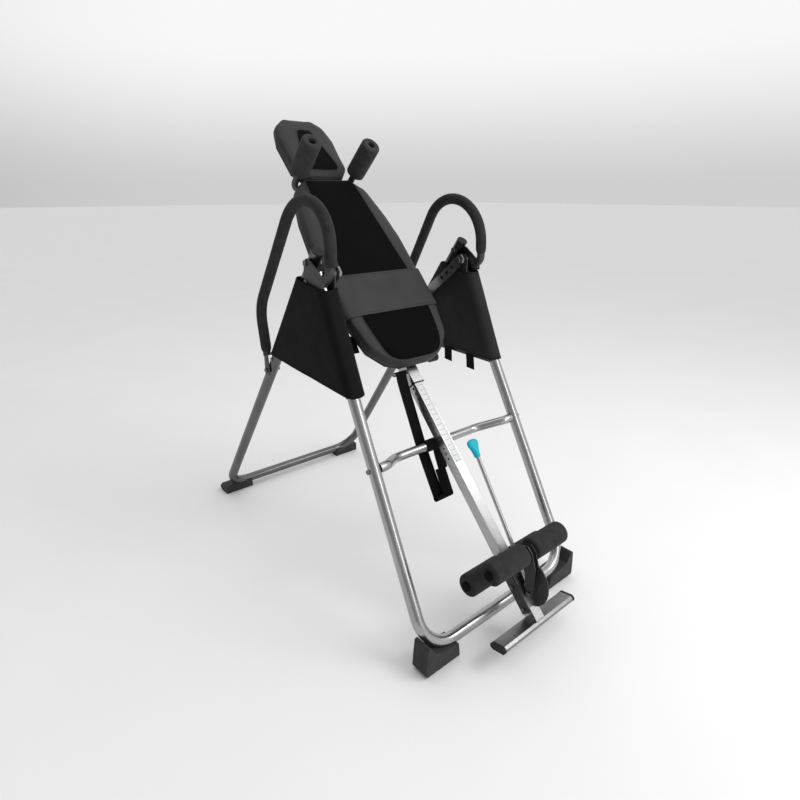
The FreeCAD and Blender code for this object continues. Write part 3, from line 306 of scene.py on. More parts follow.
COVER = woven("cover_cloth", grey(0.005), grey(0.012), 0.78, 260.0, axes=("Y", "Z"), depth=0.0002,
              sheen=0.03)
# Lighter copy of the cover cloth, for painted light on the right cover; it is not a lining.
COVER_PAINTED_LIGHT = woven("cover_cloth_painted_light", grey(0.014), grey(0.036), 0.6, 260.0, axes=("Y", "Z"), depth=0.0004,
               sheen=0.05)
WEBBING = woven("strap_webbing", grey(0.004), grey(0.010), 0.78, 330.0, axes=("X", "Z"), depth=0.0004,
                sheen=0.03)
THREAD = woven("sewing_thread", grey(0.012), grey(0.03), 0.75, 900.0, depth=0.0001, sheen=0.02)
BOARD = board_paint("stained_board")
FILM = scale_film("scale_film")
PRINT = moulded_plastic("scale_print", grey(0.10), grey(0.16), 0.6)

CAD_FINISH = {
    # The rear frame takes the tube paint's darker copy, which is painted shade.
    STEEL_PAINTED_SHADE: ["rear_frame"],
    STEEL: ["front_frame", "crossbar", "outer_boom", "cross_beam"],
    BRIGHT: ["inner_boom", "lever_rod"],
    BAR: ["footrest_bar"],
    ARM: ["hinge_arms"],
    CHROME: ["footrest_bracket", "pin_housing"],
    PLATE: ["pivot_brackets", "handlebar_left", "handlebar_right", "clamp_bracket_left", "shoulder_bar"],
    DARK: ["front_stays", "rear_stays", "backrest_brackets", "headrest_brackets", "clamp_bracket_right",
           "clamp_arms"],
    BOLT: ["front_frame_bolts", "rear_frame_bolts", "frame_hinge_bolts", "clamp_bolts", "pivot_axles",
           "pull_pin", "rear_roller_axle", "front_roller_axle", "strap_anchor"],
    RUBBER: ["front_feet", "rear_feet"],
    CAP: ["front_leg_plugs", "rear_leg_plugs", "boom_end_caps", "footrest_caps", "pull_knob"],
    JET: ["rear_axle_caps", "front_axle_caps"],
    NYLON: ["pivot_bushings"],
    BOARD: ["backboard", "headrest_board"],
    FILM: ["height_scale"],
}
# Width of the softened edges in metres, and the nodes that have it.
SOFT_EDGES = {
    0.004: ["front_feet", "rear_feet"],
    0.003: ["footrest_bar"],
    0.0025: ["footrest_caps"],
    0.002: ["backboard", "headrest_board", "cross_beam"],
    0.0015: ["outer_boom", "inner_boom"],
    0.001: ["front_leg_plugs", "rear_leg_plugs", "boom_end_caps", "rear_axle_caps", "front_axle_caps"],
    0.0008: ["hinge_arms", "pivot_brackets", "clamp_arms"],
    0.0006: ["clamp_bracket_left", "clamp_bracket_right"],
}


def finish_cad_nodes():
    """Give each kept CAD node its material, and soften the edges that show."""
    for material, names in CAD_FINISH.items():
        for name in names:
            piece = nodes[name]
            piece.data.materials.clear()
            piece.data.materials.append(material)
    for width, names in SOFT_EDGES.items():
        for name in names:
            soften = nodes[name].modifiers.new("SoftEdges", "BEVEL")
            soften.width = width
            soften.segments = 2
            soften.limit_method = "ANGLE"
            soften.angle_limit = math.radians(32)
            soften.use_clamp_overlap = True


# ---- mesh building

def mesh_piece(name, points, faces, material, smooth=True):
    """New object from points in metres and faces."""
    mesh = bpy.data.meshes.new(name)
    mesh.from_pydata([tuple(point) for point in points], [], faces)
    mesh.materials.append(material)
    mesh.validate()
    mesh.update()
    if smooth:
        mesh.shade_smooth()
    piece = bpy.data.objects.new(name, mesh)
    bpy.context.scene.collection.objects.link(piece)
    return piece


def rings_to_faces(count, around, closed_ends=False, loop=False):
    """Quads between consecutive rings of points."""
    faces = []
    last = count if loop else count - 1
    for ring in range(last):
        here = ring * around
        there = ((ring + 1) % count) * around
        for index in range(around):
            after = (index + 1) % around
            faces.append((here + index, here + after, there + after, there + index))
    if closed_ends:
        faces.append(tuple(reversed(range(around))))
        faces.append(tuple((count - 1) * around + index for index in range(around)))
    return faces


def skin(name, rings, material, closed_ends=False):
    """New object over consecutive rings of points."""
    points = [spot for ring in rings for spot in ring]
    return mesh_piece(name, points, rings_to_faces(len(rings), len(rings[0]), closed_ends), material)


def turned(name, profile, origin, axis, material, around, wobble):
    """Closed shape of revolution; the profile is (along, radius) in millimetres and closes on itself."""
    axis = axis.normalized()
    side = axis.orthogonal().normalized()
    other = axis.cross(side)
    points = []
    for along, radius in profile:
        for index in range(around):
            turn = 2 * math.pi * index / around
            spot = Vector((math.cos(turn) * 1.5, math.sin(turn) * 1.5, along * 0.02)) + origin
            push = wobble * noise.noise(spot)
            spoke = side * math.cos(turn) + other * math.sin(turn)
            points.append(origin + (axis * along + spoke * (radius + push)) * MM)
    faces = rings_to_faces(len(profile), around, loop=True)
    return mesh_piece(name, points, [face[::-1] for face in faces], material)


def spline_points(before, first, second, after, steps):
    """Points of a smooth curve from the first point up to the second, which is left out."""
    line = []
    for step in range(steps):
        t = step / steps
        line.append(0.5 * ((2 * first) + (second - before) * t
                           + (2 * before - 5 * first + 4 * second - after) * t * t
                           + (3 * first - before - 3 * second + after) * t ** 3))
    return line


def catmull(points, steps):
    """Smooth open line through the points."""
    line = []
    for index in range(len(points) - 1):
        before = points[max(index - 1, 0)]
        after = points[min(index + 2, len(points) - 1)]
        line += spline_points(before, points[index], points[index + 1], after, steps)
    line.append(points[-1].copy())
    return line


def closed_smooth(points, steps):
    """Smooth closed line through the points."""
    count = len(points)
    line = []
    for index in range(count):
        line += spline_points(*(points[(index + shift) % count] for shift in (-1, 0, 1, 2)), steps)
    return line


def tube_along(name, line, radii, material, around=24, closed=False):
    """Round section swept along a line of points, radii in metres, one for each point."""
    count = len(line)
    points = []
    normal = None
    for index, centre in enumerate(line):
        before = line[(index - 1) % count] if closed or index else centre
        after = line[(index + 1) % count] if closed or index < count - 1 else centre
        run = (after - before).normalized()
        if normal is None:
            normal = run.orthogonal().normalized()
        normal = (normal - run * normal.dot(run)).normalized()
        other = run.cross(normal)
        for step in range(around):
            turn = 2 * math.pi * step / around
            points.append(centre + (normal * math.cos(turn) + other * math.sin(turn)) * radii[index])
    return mesh_piece(name, points, rings_to_faces(count, around, not closed, closed), material)


def band_along(name, line, across, width, thick, material):
    """Flat webbing swept along a line; across is the direction of its width."""
    half = width / 2
    shape = [(-half, -0.3), (-half * 0.96, -0.5), (half * 0.96, -0.5), (half, -0.3),
             (half, 0.3), (half * 0.96, 0.5), (-half * 0.96, 0.5), (-half, 0.3)]
    points = []
    for index, centre in enumerate(line):
        before = line[max(index - 1, 0)]
        after = line[min(index + 1, len(line) - 1)]
        run = (after - before).normalized()
        face = run.cross(across).normalized()
        for side, depth in shape:
            points.append(centre + across * side + face * depth * thick)
    return mesh_piece(name, points, rings_to_faces(len(line), len(shape), True), material, smooth=False)


def subdivide(piece, levels):
    """Apply a smooth subdivision to the mesh itself."""
    modifier = piece.modifiers.new("Smooth", "SUBSURF")
    modifier.levels = levels
    modifier.render_levels = levels
    apply_modifiers(piece)


def apply_modifiers(piece):
    """Replace the mesh by its evaluated copy, so no modifier is left."""
    bpy.context.view_layer.update()
    evaluated = piece.evaluated_get(bpy.context.evaluated_depsgraph_get())
    mesh = bpy.data.meshes.new_from_object(evaluated)
    piece.modifiers.clear()
    piece.data = mesh
    mesh.shade_smooth()


def thicken(piece, thickness):
    """Give a sheet its thickness in metres, half of it to each side."""
    shell = piece.modifiers.new("Thickness", "SOLIDIFY")
    shell.thickness = thickness
    shell.offset = 0.0
    apply_modifiers(piece)


def merged(name, pieces):
    """Join several objects into one."""
    for piece in bpy.context.selected_objects:
        piece.select_set(False)
    for piece in pieces:
        piece.select_set(True)
    bpy.context.view_layer.objects.active = pieces[0]
    bpy.ops.object.join()
    whole = bpy.context.view_layer.objects.active
    whole.name = name
    whole.select_set(False)
    return whole


# ---- foam sleeves

def foam_piece(piece, body, node):
    """Foam that rides a body and stands for its CAD node."""
    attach(piece, body)
    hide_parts(node)


def rollers():
    """Foam rollers along X, with rolled ends and a slight belly."""
    bore = 10.6
    roll = 7.0
    belly = 0.6
    for end in ("rear", "front"):
        for side, _ in SIDES:
            node = f"{end}_roller_{side}"
            low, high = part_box(node)
            radius = (high.z - low.z) / 2 / MM - 0.3
            half = (high.x - low.x) / MM / 2 - 0.4
            rim = [(-half + 1.2, bore), (-half, bore + 1.5), (-half, radius - roll)]
            for step in range(1, 6):
                turn = math.pi / 2 * step / 6
                rim.append((-half + roll - roll * math.cos(turn), radius - roll + roll * math.sin(turn)))
            face = []
            for step in range(9):
                along = -half + roll + (2 * half - 2 * roll) * step / 8
                face.append((along, radius + belly * math.sin(math.pi * step / 8) * 0.5))
            profile = rim + face + [(-along, size) for along, size in reversed(rim)]
            piece = turned(f"{end}_roller_foam_{side}", profile, (low + high) / 2, EAST, FOAM, 64, 0.35)
            foam_piece(piece, f"{node}_body", node)


def shoulder_grips():
    """Upright foam grips on the shoulder bar's two ends, which lean out a little."""
    lean = math.atan2(5.0, 204.0)
    roll = 9.0
    for side, sign in SIDES:
        node = f"shoulder_grip_{side}"
        low, high = bed_box(node)
        axis = (BED.to_3x3() @ Vector((sign * math.sin(lean), 0, math.cos(lean)))).normalized()
        base = bed((low.x + high.x) / 2 - sign * 1.6, (low.y + high.y) / 2, low.z + 0.8)
        length = high.z - low.z - 2.0
        radius = (high.y - low.y) / 2 - 0.4
        profile = [(1.5, 11.6), (0.0, 13.0), (0.0, radius - 3.0), (1.0, radius - 1.0), (3.5, radius)]
        profile += [(length * step / 8, radius + 0.3 * math.sin(math.pi * step / 8)) for step in range(1, 7)]
        for step in range(7):
            turn = math.pi / 2 * step / 6
            profile.append((length - roll + roll * math.sin(turn), radius - roll + roll * math.cos(turn)))
        profile += [(length - 0.4, 15.0), (length - 2.0, 12.4), (length - 8.0, 11.6)]
        foam_piece(turned(f"shoulder_foam_{side}", profile, base, axis, GRIP, 64, 0.3), "table", node)


HANDLE_X = 292.4
HANDLE_LEAN = math.radians(4.0)
HANDLE_ZERO = 1000.0
HANDLE_FOAM = [(-98.0, 26.0), (-98.0, 492.0), (311.0, -139.0), (271.7, -276.0)]
HANDLE_BENDS = [126.0, 110.0]
HANDLE_RADIUS = 17.0
HANDLE_ROLLS = (0.74, 0.93, 0.99)


def rounded_line(corners, radii, spacing):
    """Points along straight runs joined by tangent arcs, in the plane of the corners."""
    line = []
    start = Vector(corners[0])
    for corner, before, after, radius in zip(corners[1:-1], corners, corners[2:], radii):
        corner = Vector(corner)
        come = (corner - Vector(before)).normalized()
        leave = (Vector(after) - corner).normalized()
        turn = come.angle(leave)
        reach = radius * math.tan(turn / 2)
        first = corner - come * reach
        last = corner + leave * reach
        centre = corner + (leave - come).normalized() * (radius / math.cos(turn / 2))
        steps = max(2, int((first - start).length / spacing))
        line += [start.lerp(first, index / steps) for index in range(steps)]
        steps = max(4, int(radius * turn / spacing))
        spoke = first - centre
        sense = 1 if come.cross(leave) > 0 else -1
        line += [centre + Matrix.Rotation(sense * turn * index / steps, 2) @ spoke for index in range(steps)]
        start = last
    end = Vector(corners[-1])
    steps = max(2, int((end - start).length / spacing))
    return line + [start.lerp(end, index / steps) for index in range(steps + 1)]


def handlebar_foam():
    """Long foam sleeves with rolled ends and a faint ripple."""
    flat_line = rounded_line(HANDLE_FOAM, HANDLE_BENDS, 7.0)
    for side, sign in SIDES:
        line = []
        for along, up in flat_line:
            x = HANDLE_X - up * math.sin(HANDLE_LEAN)
            z = HANDLE_ZERO + up * math.cos(HANDLE_LEAN)
            line.append(Vector((sign * x, APEX_Y + along, z)) * MM)
        radii = []
        for index, spot in enumerate(line):
            from_end = min(index, len(line) - 1 - index)
            roll = HANDLE_ROLLS[from_end] if from_end < len(HANDLE_ROLLS) else 1.0
            ripple = 0.18 * noise.noise(spot * 45.0)
            radii.append((HANDLE_RADIUS * roll + ripple) * MM - 0.0002)
        sleeve = tube_along(f"handlebar_foam_{side}", line, radii, FOAM, 32)
        foam_piece(sleeve, "rear_stand", f"handlebar_grip_{side}")


# ---- upholstery

def mirrored_outline(points):
    """Closed outline from its right-hand half, top first."""
    right = [Vector(point) for point in points]
    return right + [Vector((-point.x, point.y)) for point in reversed(right)]


def cushion_core(name, outline, back, face):
    """Closed block over a smooth outline with rolled front edges, in the bed's frame."""
    roll = 8.0
    line = closed_smooth(outline, 6)
    low = min(point.y for point in line)
    high = max(point.y for point in line)
    wide = max(point.x for point in line)
    levels = [(1.5, back), (0.0, back + 1.5), (0.0, face - roll)]
    for step in range(1, 7):
        turn = math.pi / 2 * step / 6
        levels.append((roll * (1 - math.cos(turn)), face - roll + roll * math.sin(turn)))
    rings = []
    spine = [Vector((0.0, min(max(point.y, low + wide), high - wide * 0.7))) for point in line]
    for inset, height in levels:
        ring = []
        for point, centre in zip(line, spine):
            reach = (point - centre).length
            ring.append(bed(*(point.lerp(centre, inset / reach)), height))
        rings.append(ring)
    for share in (0.3, 0.5, 0.7, 0.85, 0.97):
        rings.append([bed(*point.lerp(centre, share), face) for point, centre in zip(line, spine)])
    return skin(name, rings, BORDER, True)


def puffed(piece, voxel, cap, back):
    """Swell a cushion with air pressure, by no more than the cap; its back stays flat on the board."""
    hold = 18.0
    frames = 20
    remesh = piece.modifiers.new("Remesh", "REMESH")
    remesh.mode = "VOXEL"
    remesh.voxel_size = voxel
    apply_modifiers(piece)
    rest = [vertex.co.copy() for vertex in piece.data.vertices]
    pinned = piece.vertex_groups.new(name="Pinned")
    held = [index for index, spot in enumerate(rest) if (BED_INVERSE @ spot).z / MM < back + hold]
    pinned.add(held, 1.0, "REPLACE")
    cloth = piece.modifiers.new("Cloth", "CLOTH")
    settings = cloth.settings
    settings.use_pressure = True
    settings.uniform_pressure_force = 4.0
    settings.effector_weights.gravity = 0.0
    settings.quality = 4
    settings.vertex_group_mass = "Pinned"
    settings.tension_stiffness = 40
    settings.compression_stiffness = 40
    cloth.point_cache.frame_start = 1
    cloth.point_cache.frame_end = frames
    scene = bpy.context.scene
    for step in range(1, frames + 1):
        scene.frame_set(step)
    apply_modifiers(piece)
    scene.frame_set(1)
    for vertex, start in zip(piece.data.vertices, rest):
        move = vertex.co - start
        if move.length > cap:
            vertex.co = start + move.normalized() * cap


def surface_tree(piece):
    """Ray-cast helper over the piece's final mesh."""
    points = [vertex.co for vertex in piece.data.vertices]
    polygons = [polygon.vertices[:] for polygon in piece.data.polygons]
    return BVHTree.FromPolygons(points, polygons)


def on_surface(tree, across, along, lift):
    """Point over the cushion's face at a place of the bed, lifted off it in millimetres."""
    above = 200.0
    hit = tree.ray_cast(bed(across, along, above), -OUT)[0]
    if hit is None:
        return None
    return hit + OUT * lift * MM


def inset_line(line, amount):
    """Closed flat line moved inwards by about amount."""
    count = len(line)
    centre = sum(line, Vector((0.0, 0.0))) / count
    moved = []
    for index, point in enumerate(line):
        run = (line[(index + 1) % count] - line[index - 1]).normalized()
        inward = Vector((-run.y, run.x))
        if inward.dot(centre - point) < 0:
            inward = -inward
        moved.append(point + inward * amount)
    return moved


def upholstery_panel(name, outline, tree):
    """Sewn-in panel that follows the cushion and dips into the seam all round."""
    lift = 1.2
    line = closed_smooth(outline, 8)
    low = min(point.y for point in line)
    high = max(point.y for point in line)
    wide = max(point.x for point in line)
    middle_low = min(low + wide * 0.8, (low + high) / 2)
    middle_high = max(high - wide * 0.8, (low + high) / 2)
    spine = [Vector((0.0, min(max(point.y, middle_low), middle_high))) for point in line]
    rings = []
    for inset, height in [(0.0, -2.0), (0.8, -0.6), (1.8, 0.3 * lift), (3.5, 0.8 * lift), (6.0, lift)]:
        ring = []
        for point, centre in zip(line, spine):
            spot = point.lerp(centre, inset / (point - centre).length)
            ring.append(on_surface(tree, spot.x, spot.y, height))
        rings.append(ring)
    for step in range(1, 20):
        share = 0.08 + 0.048 * step
        spots = [point.lerp(centre, share) for point, centre in zip(line, spine)]
        rings.append([on_surface(tree, spot.x, spot.y, lift) for spot in spots])
    points = [spot for ring in rings for spot in ring]
    faces = rings_to_faces(len(rings), len(line))
    faces.append(tuple((len(rings) - 1) * len(line) + index for index in range(len(line))))
    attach(mesh_piece(name, points, faces, PANEL), "table")


def piping(name, outline, tree):
    """Welt cord that lies along a seam."""
    radius = 1.5
    lift = 0.2
    line = [on_surface(tree, point.x, point.y, lift) for point in closed_smooth(outline, 8)]
    line = [spot for spot in line if spot is not None]
    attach(tube_along(name, line, [radius * MM] * len(line), BORDER, 8, closed=True), "table")


def stitches(name, line, tree, spacing):
    """Row of separate stitches over a closed flat line, on the cushion's face."""
    long = 4.2
    count = len(line)
    lengths = [(line[(index + 1) % count] - line[index]).length for index in range(count)]
    total = sum(lengths)
    number = int(total / spacing)
    points = []
    faces = []
    index = 0
    passed = 0.0
    for stitch in range(number):
        target = total * stitch / number
        while passed + lengths[index] < target:
            passed += lengths[index]
            index += 1
        start = line[index]
        run = (line[(index + 1) % count] - start).normalized()
        middle = start + run * (target - passed)
        spot = on_surface(tree, middle.x, middle.y, 0.15)
        if spot is None:
            continue
        along = (BED.to_3x3() @ Vector((run.x, run.y, 0))) * (long / 2 * MM)
        side = (BED.to_3x3() @ Vector((-run.y, run.x, 0))) * (0.45 * MM)
        up = OUT * (0.55 * MM)
        first = len(points)
        for share, size in ((-1.0, 0.25), (-0.6, 0.9), (0.0, 1.0), (0.6, 0.9), (1.0, 0.25)):
            centre = spot + along * share
            for turn in range(6):
                angle = math.pi / 3 * turn
                points.append(centre + (side * math.cos(angle) + up * math.sin(angle)) * size)
        for ring in range(4):
            for turn in range(6):
                here = first + ring * 6
                after = (turn + 1) % 6
                faces.append((here + turn, here + after, here + 6 + after, here + 6 + turn))
    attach(mesh_piece(name, points, faces, THREAD), "table")


def cushion(name, node, outline, voxel, cap):
    """Puffed cushion in place of its CAD node; gives the ray-cast helper over its face."""
    low, high = bed_box(node)
    pad = cushion_core(name, mirrored_outline(outline), low.z + 0.2, high.z - 2.5)
    puffed(pad, voxel, cap, low.z)
    subdivide(pad, 1)
    tree = surface_tree(pad)
    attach(pad, "table")
    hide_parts(node)
    return tree


def sewn_panel(part, suffix, outline, tree, spacing):
    """Panel of mesh cloth, the welt along its seam and the stitches outside the welt."""
    shape = mirrored_outline(outline)
    upholstery_panel(f"{part}_panel{suffix}", shape, tree)
    piping(f"{part}_welt{suffix}", shape, tree)
    stitches(f"{part}_stitches{suffix}", inset_line(closed_smooth(shape, 8), -5.0), tree, spacing)


def backrest():
    """Backrest cushion with its two sewn panels; gives the ray-cast helper over its face."""
    outline = [(40.0, 453.0), (84.0, 452.5), (100.0, 445.0), (120.0, 427.0), (139.0, 405.0), (153.0, 352.0),
               (166.0, 298.0), (175.0, 236.0), (180.0, 186.0), (180.3, 60.0), (180.0, -64.0),
               (171.0, -122.0), (157.0, -180.0), (134.0, -211.0), (107.0, -237.0), (84.0, -249.0),
               (57.0, -257.5), (24.0, -258.5)]
    upper = [(30.0, 445.0), (84.0, 444.0), (93.0, 436.0), (99.0, 390.0), (107.0, 310.0), (116.0, 220.0),
             (125.0, 130.0), (134.0, 60.0), (140.0, 0.0), (100.0, -8.0), (40.0, -8.0)]
    lower = [(60.0, -40.0), (132.0, -42.0), (136.0, -60.0), (134.0, -100.0), (127.0, -150.0),
             (117.0, -196.0), (103.0, -224.0), (80.0, -241.0), (50.0, -248.0), (20.0, -248.5)]
    tree = cushion("backrest_cushion", "backrest_pad", outline, 0.005, 0.0028)
    sewn_panel("backrest", "_upper", upper, tree, 7.0)
    sewn_panel("backrest", "_lower", lower, tree, 7.0)
    return tree


def headrest():
    """Headrest cushion with its sewn panel."""
    outline = [(26.0, 716.5), (56.0, 715.5), (76.0, 701.0), (93.0, 683.0), (101.0, 656.0), (107.2, 626.0),
               (106.5, 590.0), (104.5, 540.0), (103.0, 504.0), (90.0, 484.0), (70.0, 465.0), (30.0, 463.5)]
    shape = [(10.0, 664.0), (26.0, 658.0), (36.0, 628.0), (50.0, 576.0), (63.0, 528.0), (65.0, 504.0),
             (54.0, 490.0), (20.0, 486.0)]
    tree = cushion("headrest_cushion", "headrest_pad", outline, 0.0042, 0.0026)
    sewn_panel("headrest", "", shape, tree, 6.5)


def lumbar_belt(tree):
    """Wide vinyl band round the pad and its board, with a folded hem along each edge."""
    low, high = bed_box("lumbar_belt")
    half = high.x - 1.6
    back = low.z + 1.0
    corner = 26.0
    bend = corner * 0.9
    front_half = half - bend
    back_half = half - 6.0
    face_steps = 28
    along_steps = 22
    places = [front_half - (2 * front_half) * step / face_steps for step in range(face_steps + 1)]
    rings = []
    for row in range(along_steps + 1):
        share = row / along_steps
        along = low.y + 1.0 + (high.y - low.y - 2.0) * share
        hem = 1.5 * math.exp(-((min(share, 1 - share) * along_steps) - 1.2) ** 2 / 0.5)
        ring = []
        for across in places:
            local = BED_INVERSE @ on_surface(tree, across, along, 0.0) / MM
            lift = 3.0 + 0.9 * noise.noise(Vector((across * 0.013, along * 0.022, 1.7))) + 0.5 * hem
            ring.append(Vector((across, along, min(local.z + lift, high.z - 0.3))))
        edge = ring[-1]
        left = []
        for step in range(1, 8):
            turn = math.pi / 2 * step / 7
            left.append(Vector((-front_half - bend * math.sin(turn), along,
                                edge.z - corner * 0.75 * (1 - math.cos(turn)))))
        down = left[-1]
        for step in range(1, 5):
            left.append(Vector((down.x + 0.4 * math.sin(step), along,
                                down.z + (back + 4 - down.z) * step / 4)))
        left.append(Vector((-back_half, along, back)))
        behind = [Vector((-back_half + 2 * back_half * step / 10, along, back)) for step in range(1, 10)]
        right = [Vector((-spot.x, spot.y, spot.z)) for spot in reversed(left)]
        rings.append([bed(*spot) for spot in ring + left + behind + right])
    piece = skin("lumbar_band", rings, BORDER)
    thicken(piece, 0.0022)
    subdivide(piece, 1)
    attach(piece, "table")
    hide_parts("lumbar_belt")

    tail = [bed(-165.0 - 2.0 * math.sin(0.7 * step), -116.0 - 8.0 * step, -164.0 - 4.0 * step)
            for step in range(7)]
    end = band_along("belt_webbing_end", tail, EAST, 0.026, 0.0018, WEBBING)
    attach(end, "table")

    belt_tree = surface_tree(piece)
    wide = half - corner
    for label, along in (("low", low.y + 8.0), ("high", high.y - 8.0)):
        line = [Vector((wide - 2 * wide * step / 60, along)) for step in range(61)]
        stitches(f"belt_stitches_{label}", line, belt_tree, 6.0)


# ---- side covers

def tube_line(node, sign):
    """Middle of a leg tube at both ends of its straight run, from the CAD rings, lower end first."""
    points = [vertex.co / MM for vertex in nodes[node].data.vertices if vertex.co.x * sign > 0]
    top = max(point.z for point in points)
    upper = [point for point in points if point.z > top - 34.0]
    straight = [point.z for point in points if 60.0 < point.z < top - 200.0]
    start = max(straight)
    lower = [point for point in points if start - 16.0 < point.z <= start]
    ends = []
    for group in (lower, upper):
        spans = [[point[axis] for point in group] for axis in range(3)]
        ends.append(Vector([(min(span) + max(span)) / 2 for span in spans]))
    return ends


def across_at(ends, height):
    """How far from the middle plane a leg tube is at a height."""
    low, high = ends
    return abs(low.x + (high.x - low.x) * (height - low.z) / (high.z - low.z))


def quarter(distance, reach):
    """Rise of a quarter ellipse: 0 at the nose, 1 beyond its reach."""
    if distance >= reach:
        return 1.0
    return math.sqrt(max(0.0, 1.0 - (1.0 - distance / reach) ** 2))


def cover_ring(share, shape, legs, sign, count):
    """One level of a cover: cloth drawn tight over both leg tubes and slack between them."""
    reach = 30.0
    pull_at = 10.0
    pull_width = 26.0
    y_front = shape["low_front"] + (shape["top_front"] - shape["low_front"]) * share
    y_rear = shape["low_rear"] + (shape["top_rear"] - shape["low_rear"]) * share
    long = y_rear - y_front
    half = count // 2
    ring = []
    for index in range(count):
        outer = index < half
        step = index % half
        spread = step / (half - 1)
        if not outer:
            spread = 1.0 - spread
        along = long * (0.5 - 0.5 * math.cos(math.pi * spread)) * 0.6 + long * spread * 0.4
        start = shape["front_low_z"] + (shape["rear_low_z"] - shape["front_low_z"]) * along / long
        end = shape["front_top_z"] + (shape["rear_top_z"] - shape["front_top_z"]) * along / long
        z = start + (end - start) * share
        from_rear = long - along
        middle = across_at(legs[0], z) + (across_at(legs[1], z) - across_at(legs[0], z)) * along / long
        rise = min(quarter(along, reach), quarter(from_rear, reach))
        tight = math.exp(-((along - pull_at) / pull_width) ** 2)
        tight += math.exp(-((from_rear - pull_at) / pull_width) ** 2)
        slack = max(0.0, 1.0 - tight)
        broad = noise.noise(Vector((along * 0.012 + sign * 3.1, z * 0.005, sign * 2.0 + outer)))
        crease = noise.noise(Vector((along * 0.03 - z * 0.012, z * 0.008 + 7.7, sign * 5.0 + outer)))
        push = slack * (0.9 + 2.2 * broad + 0.9 * crease)
        if outer:
            x = middle + 10.0 + (shape["far"] - middle - 10.0) * rise + push * 0.45
        else:
            x = middle - 8.0 - (middle - 8.0 - shape["near"]) * rise - max(push, 0.0)
        ring.append(Vector((sign * x, y_front + along, z)) * MM)
    return ring


def cover_shape(node):
    """Where a cover's edges, ends and faces are on its CAD node, in millimetres."""
    points = [vertex.co / MM for vertex in nodes[node].data.vertices]
    low, high = box_round(points)
    return {
        "low_front": low.y, "low_rear": high.y,
        "top_front": min(point.y for point in points if point.z > high.z - 40),
        "top_rear": max(point.y for point in points if point.z > high.z - 15),
        "front_low_z": low.z, "rear_low_z": min(point.z for point in points if point.y > high.y - 5),
        "front_top_z": high.z - 22.0, "rear_top_z": high.z,
        "near": min(abs(low.x), abs(high.x)) + 1.2, "far": max(abs(low.x), abs(high.x)) - 1.2,
    }


def side_covers():
    """Cloth covers that hang round the legs, creased where the cloth is slack."""
    around = 180
    rows = 56
    for side, sign in SIDES:
        node = f"side_cover_{side}"
        shape = cover_shape(node)
        legs = [tube_line("front_frame", sign), tube_line("rear_frame", sign)]
        rings = [cover_ring(row / rows, shape, legs, sign, around) for row in range(rows + 1)]
        # The right cover takes the cloth's lighter copy, which is painted light.
        piece = skin(f"cloth_cover_{side}", rings, COVER_PAINTED_LIGHT if side == "right" else COVER)
        thicken(piece, 0.0012)
        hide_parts(node)
        extras = []
        for label, row in (("bottom", 1), ("top", rows - 1)):
            extras.append(tube_along(f"cover_hem_{label}_{side}", rings[row], [0.0013] * around, COVER, 8,
                                     closed=True))
        seam = catmull([rings[row][3 + round(7 * (1 - row / rows))] for row in range(1, rows)], 2)
        extras.append(tube_along(f"cover_seam_{side}", seam, [0.001] * len(seam), COVER, 8))
        if side == "right":
            extras += cover_tails(shape, sign)
        for part in [piece] + extras:
            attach(part, "front_stand")
            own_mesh(part)


def cover_tails(shape, sign):
    """Two short webbing ends that hang below the inner face."""
    tails = []
    for index, behind in enumerate((100.0, 206.0)):
        y = shape["low_front"] + behind
        share = behind / (shape["low_rear"] - shape["low_front"])
        z = shape["front_low_z"] + (shape["rear_low_z"] - shape["front_low_z"]) * share
        line = []
        for step in range(9):
            drop = step / 8
            sway = 2.0 * math.sin(2.6 * drop + index)
            line.append(Vector((sign * (shape["near"] + 1.9 + sway * drop), y - 7.0 * drop,
                                z + 14.0 - 68.0 * drop)) * MM)
        across = Vector((0, 1, 0.08)).normalized()
        tail = band_along(f"cover_tail_{index}", line, across, 0.036, 0.0018, WEBBING)
        tails.append(tail)
    return tails


# ---- tether strap

# Side views of the strap's four runs: (along from the apex, height) in millimetres.
MAIN_RUN = [(-95.3, 684.0), (-104.0, 655.0), (-150.0, 560.0), (-194.8, 468.0), (-238.0, 393.0),
            (-272.0, 336.0)]
FOLD_RUN = [(-271.0, 342.0), (-274.0, 331.0), (-278.5, 323.5), (-286.0, 323.0), (-290.0, 330.0),
            (-287.5, 340.0)]
BACK_RUN = [(-289.0, 333.0), (-268.0, 372.0), (-249.0, 408.0)]
LAST_RUN = [(-251.0, 404.0), (-230.0, 448.0), (-224.5, 464.5)]
CROSSBAR_RADIUS = 0.0140
PLY = 2.4


def strap_band(name, points, low, high, thick):
    """One run of the strap between two places across X, given in the side view."""
    line = [Vector(((low + high) / 2, APEX_Y + along, up)) * MM for along, up in points]
    return band_along(name, catmull(line, 8), EAST, (high - low) * MM, thick * MM, WEBBING)


def strap_loop(name, middle, radius, low, high, thick):
    """Sewn loop of the strap round a bar."""
    count = 36
    line = []
    for step in range(count + 1):
        turn = 2 * math.pi * step / count
        line.append(Vector(((low + high) / 2 * MM, middle.y + radius * math.cos(turn) * MM,
                            middle.z + radius * math.sin(turn) * MM)))
    return band_along(name, line, EAST, (high - low) * MM, thick * MM, WEBBING)


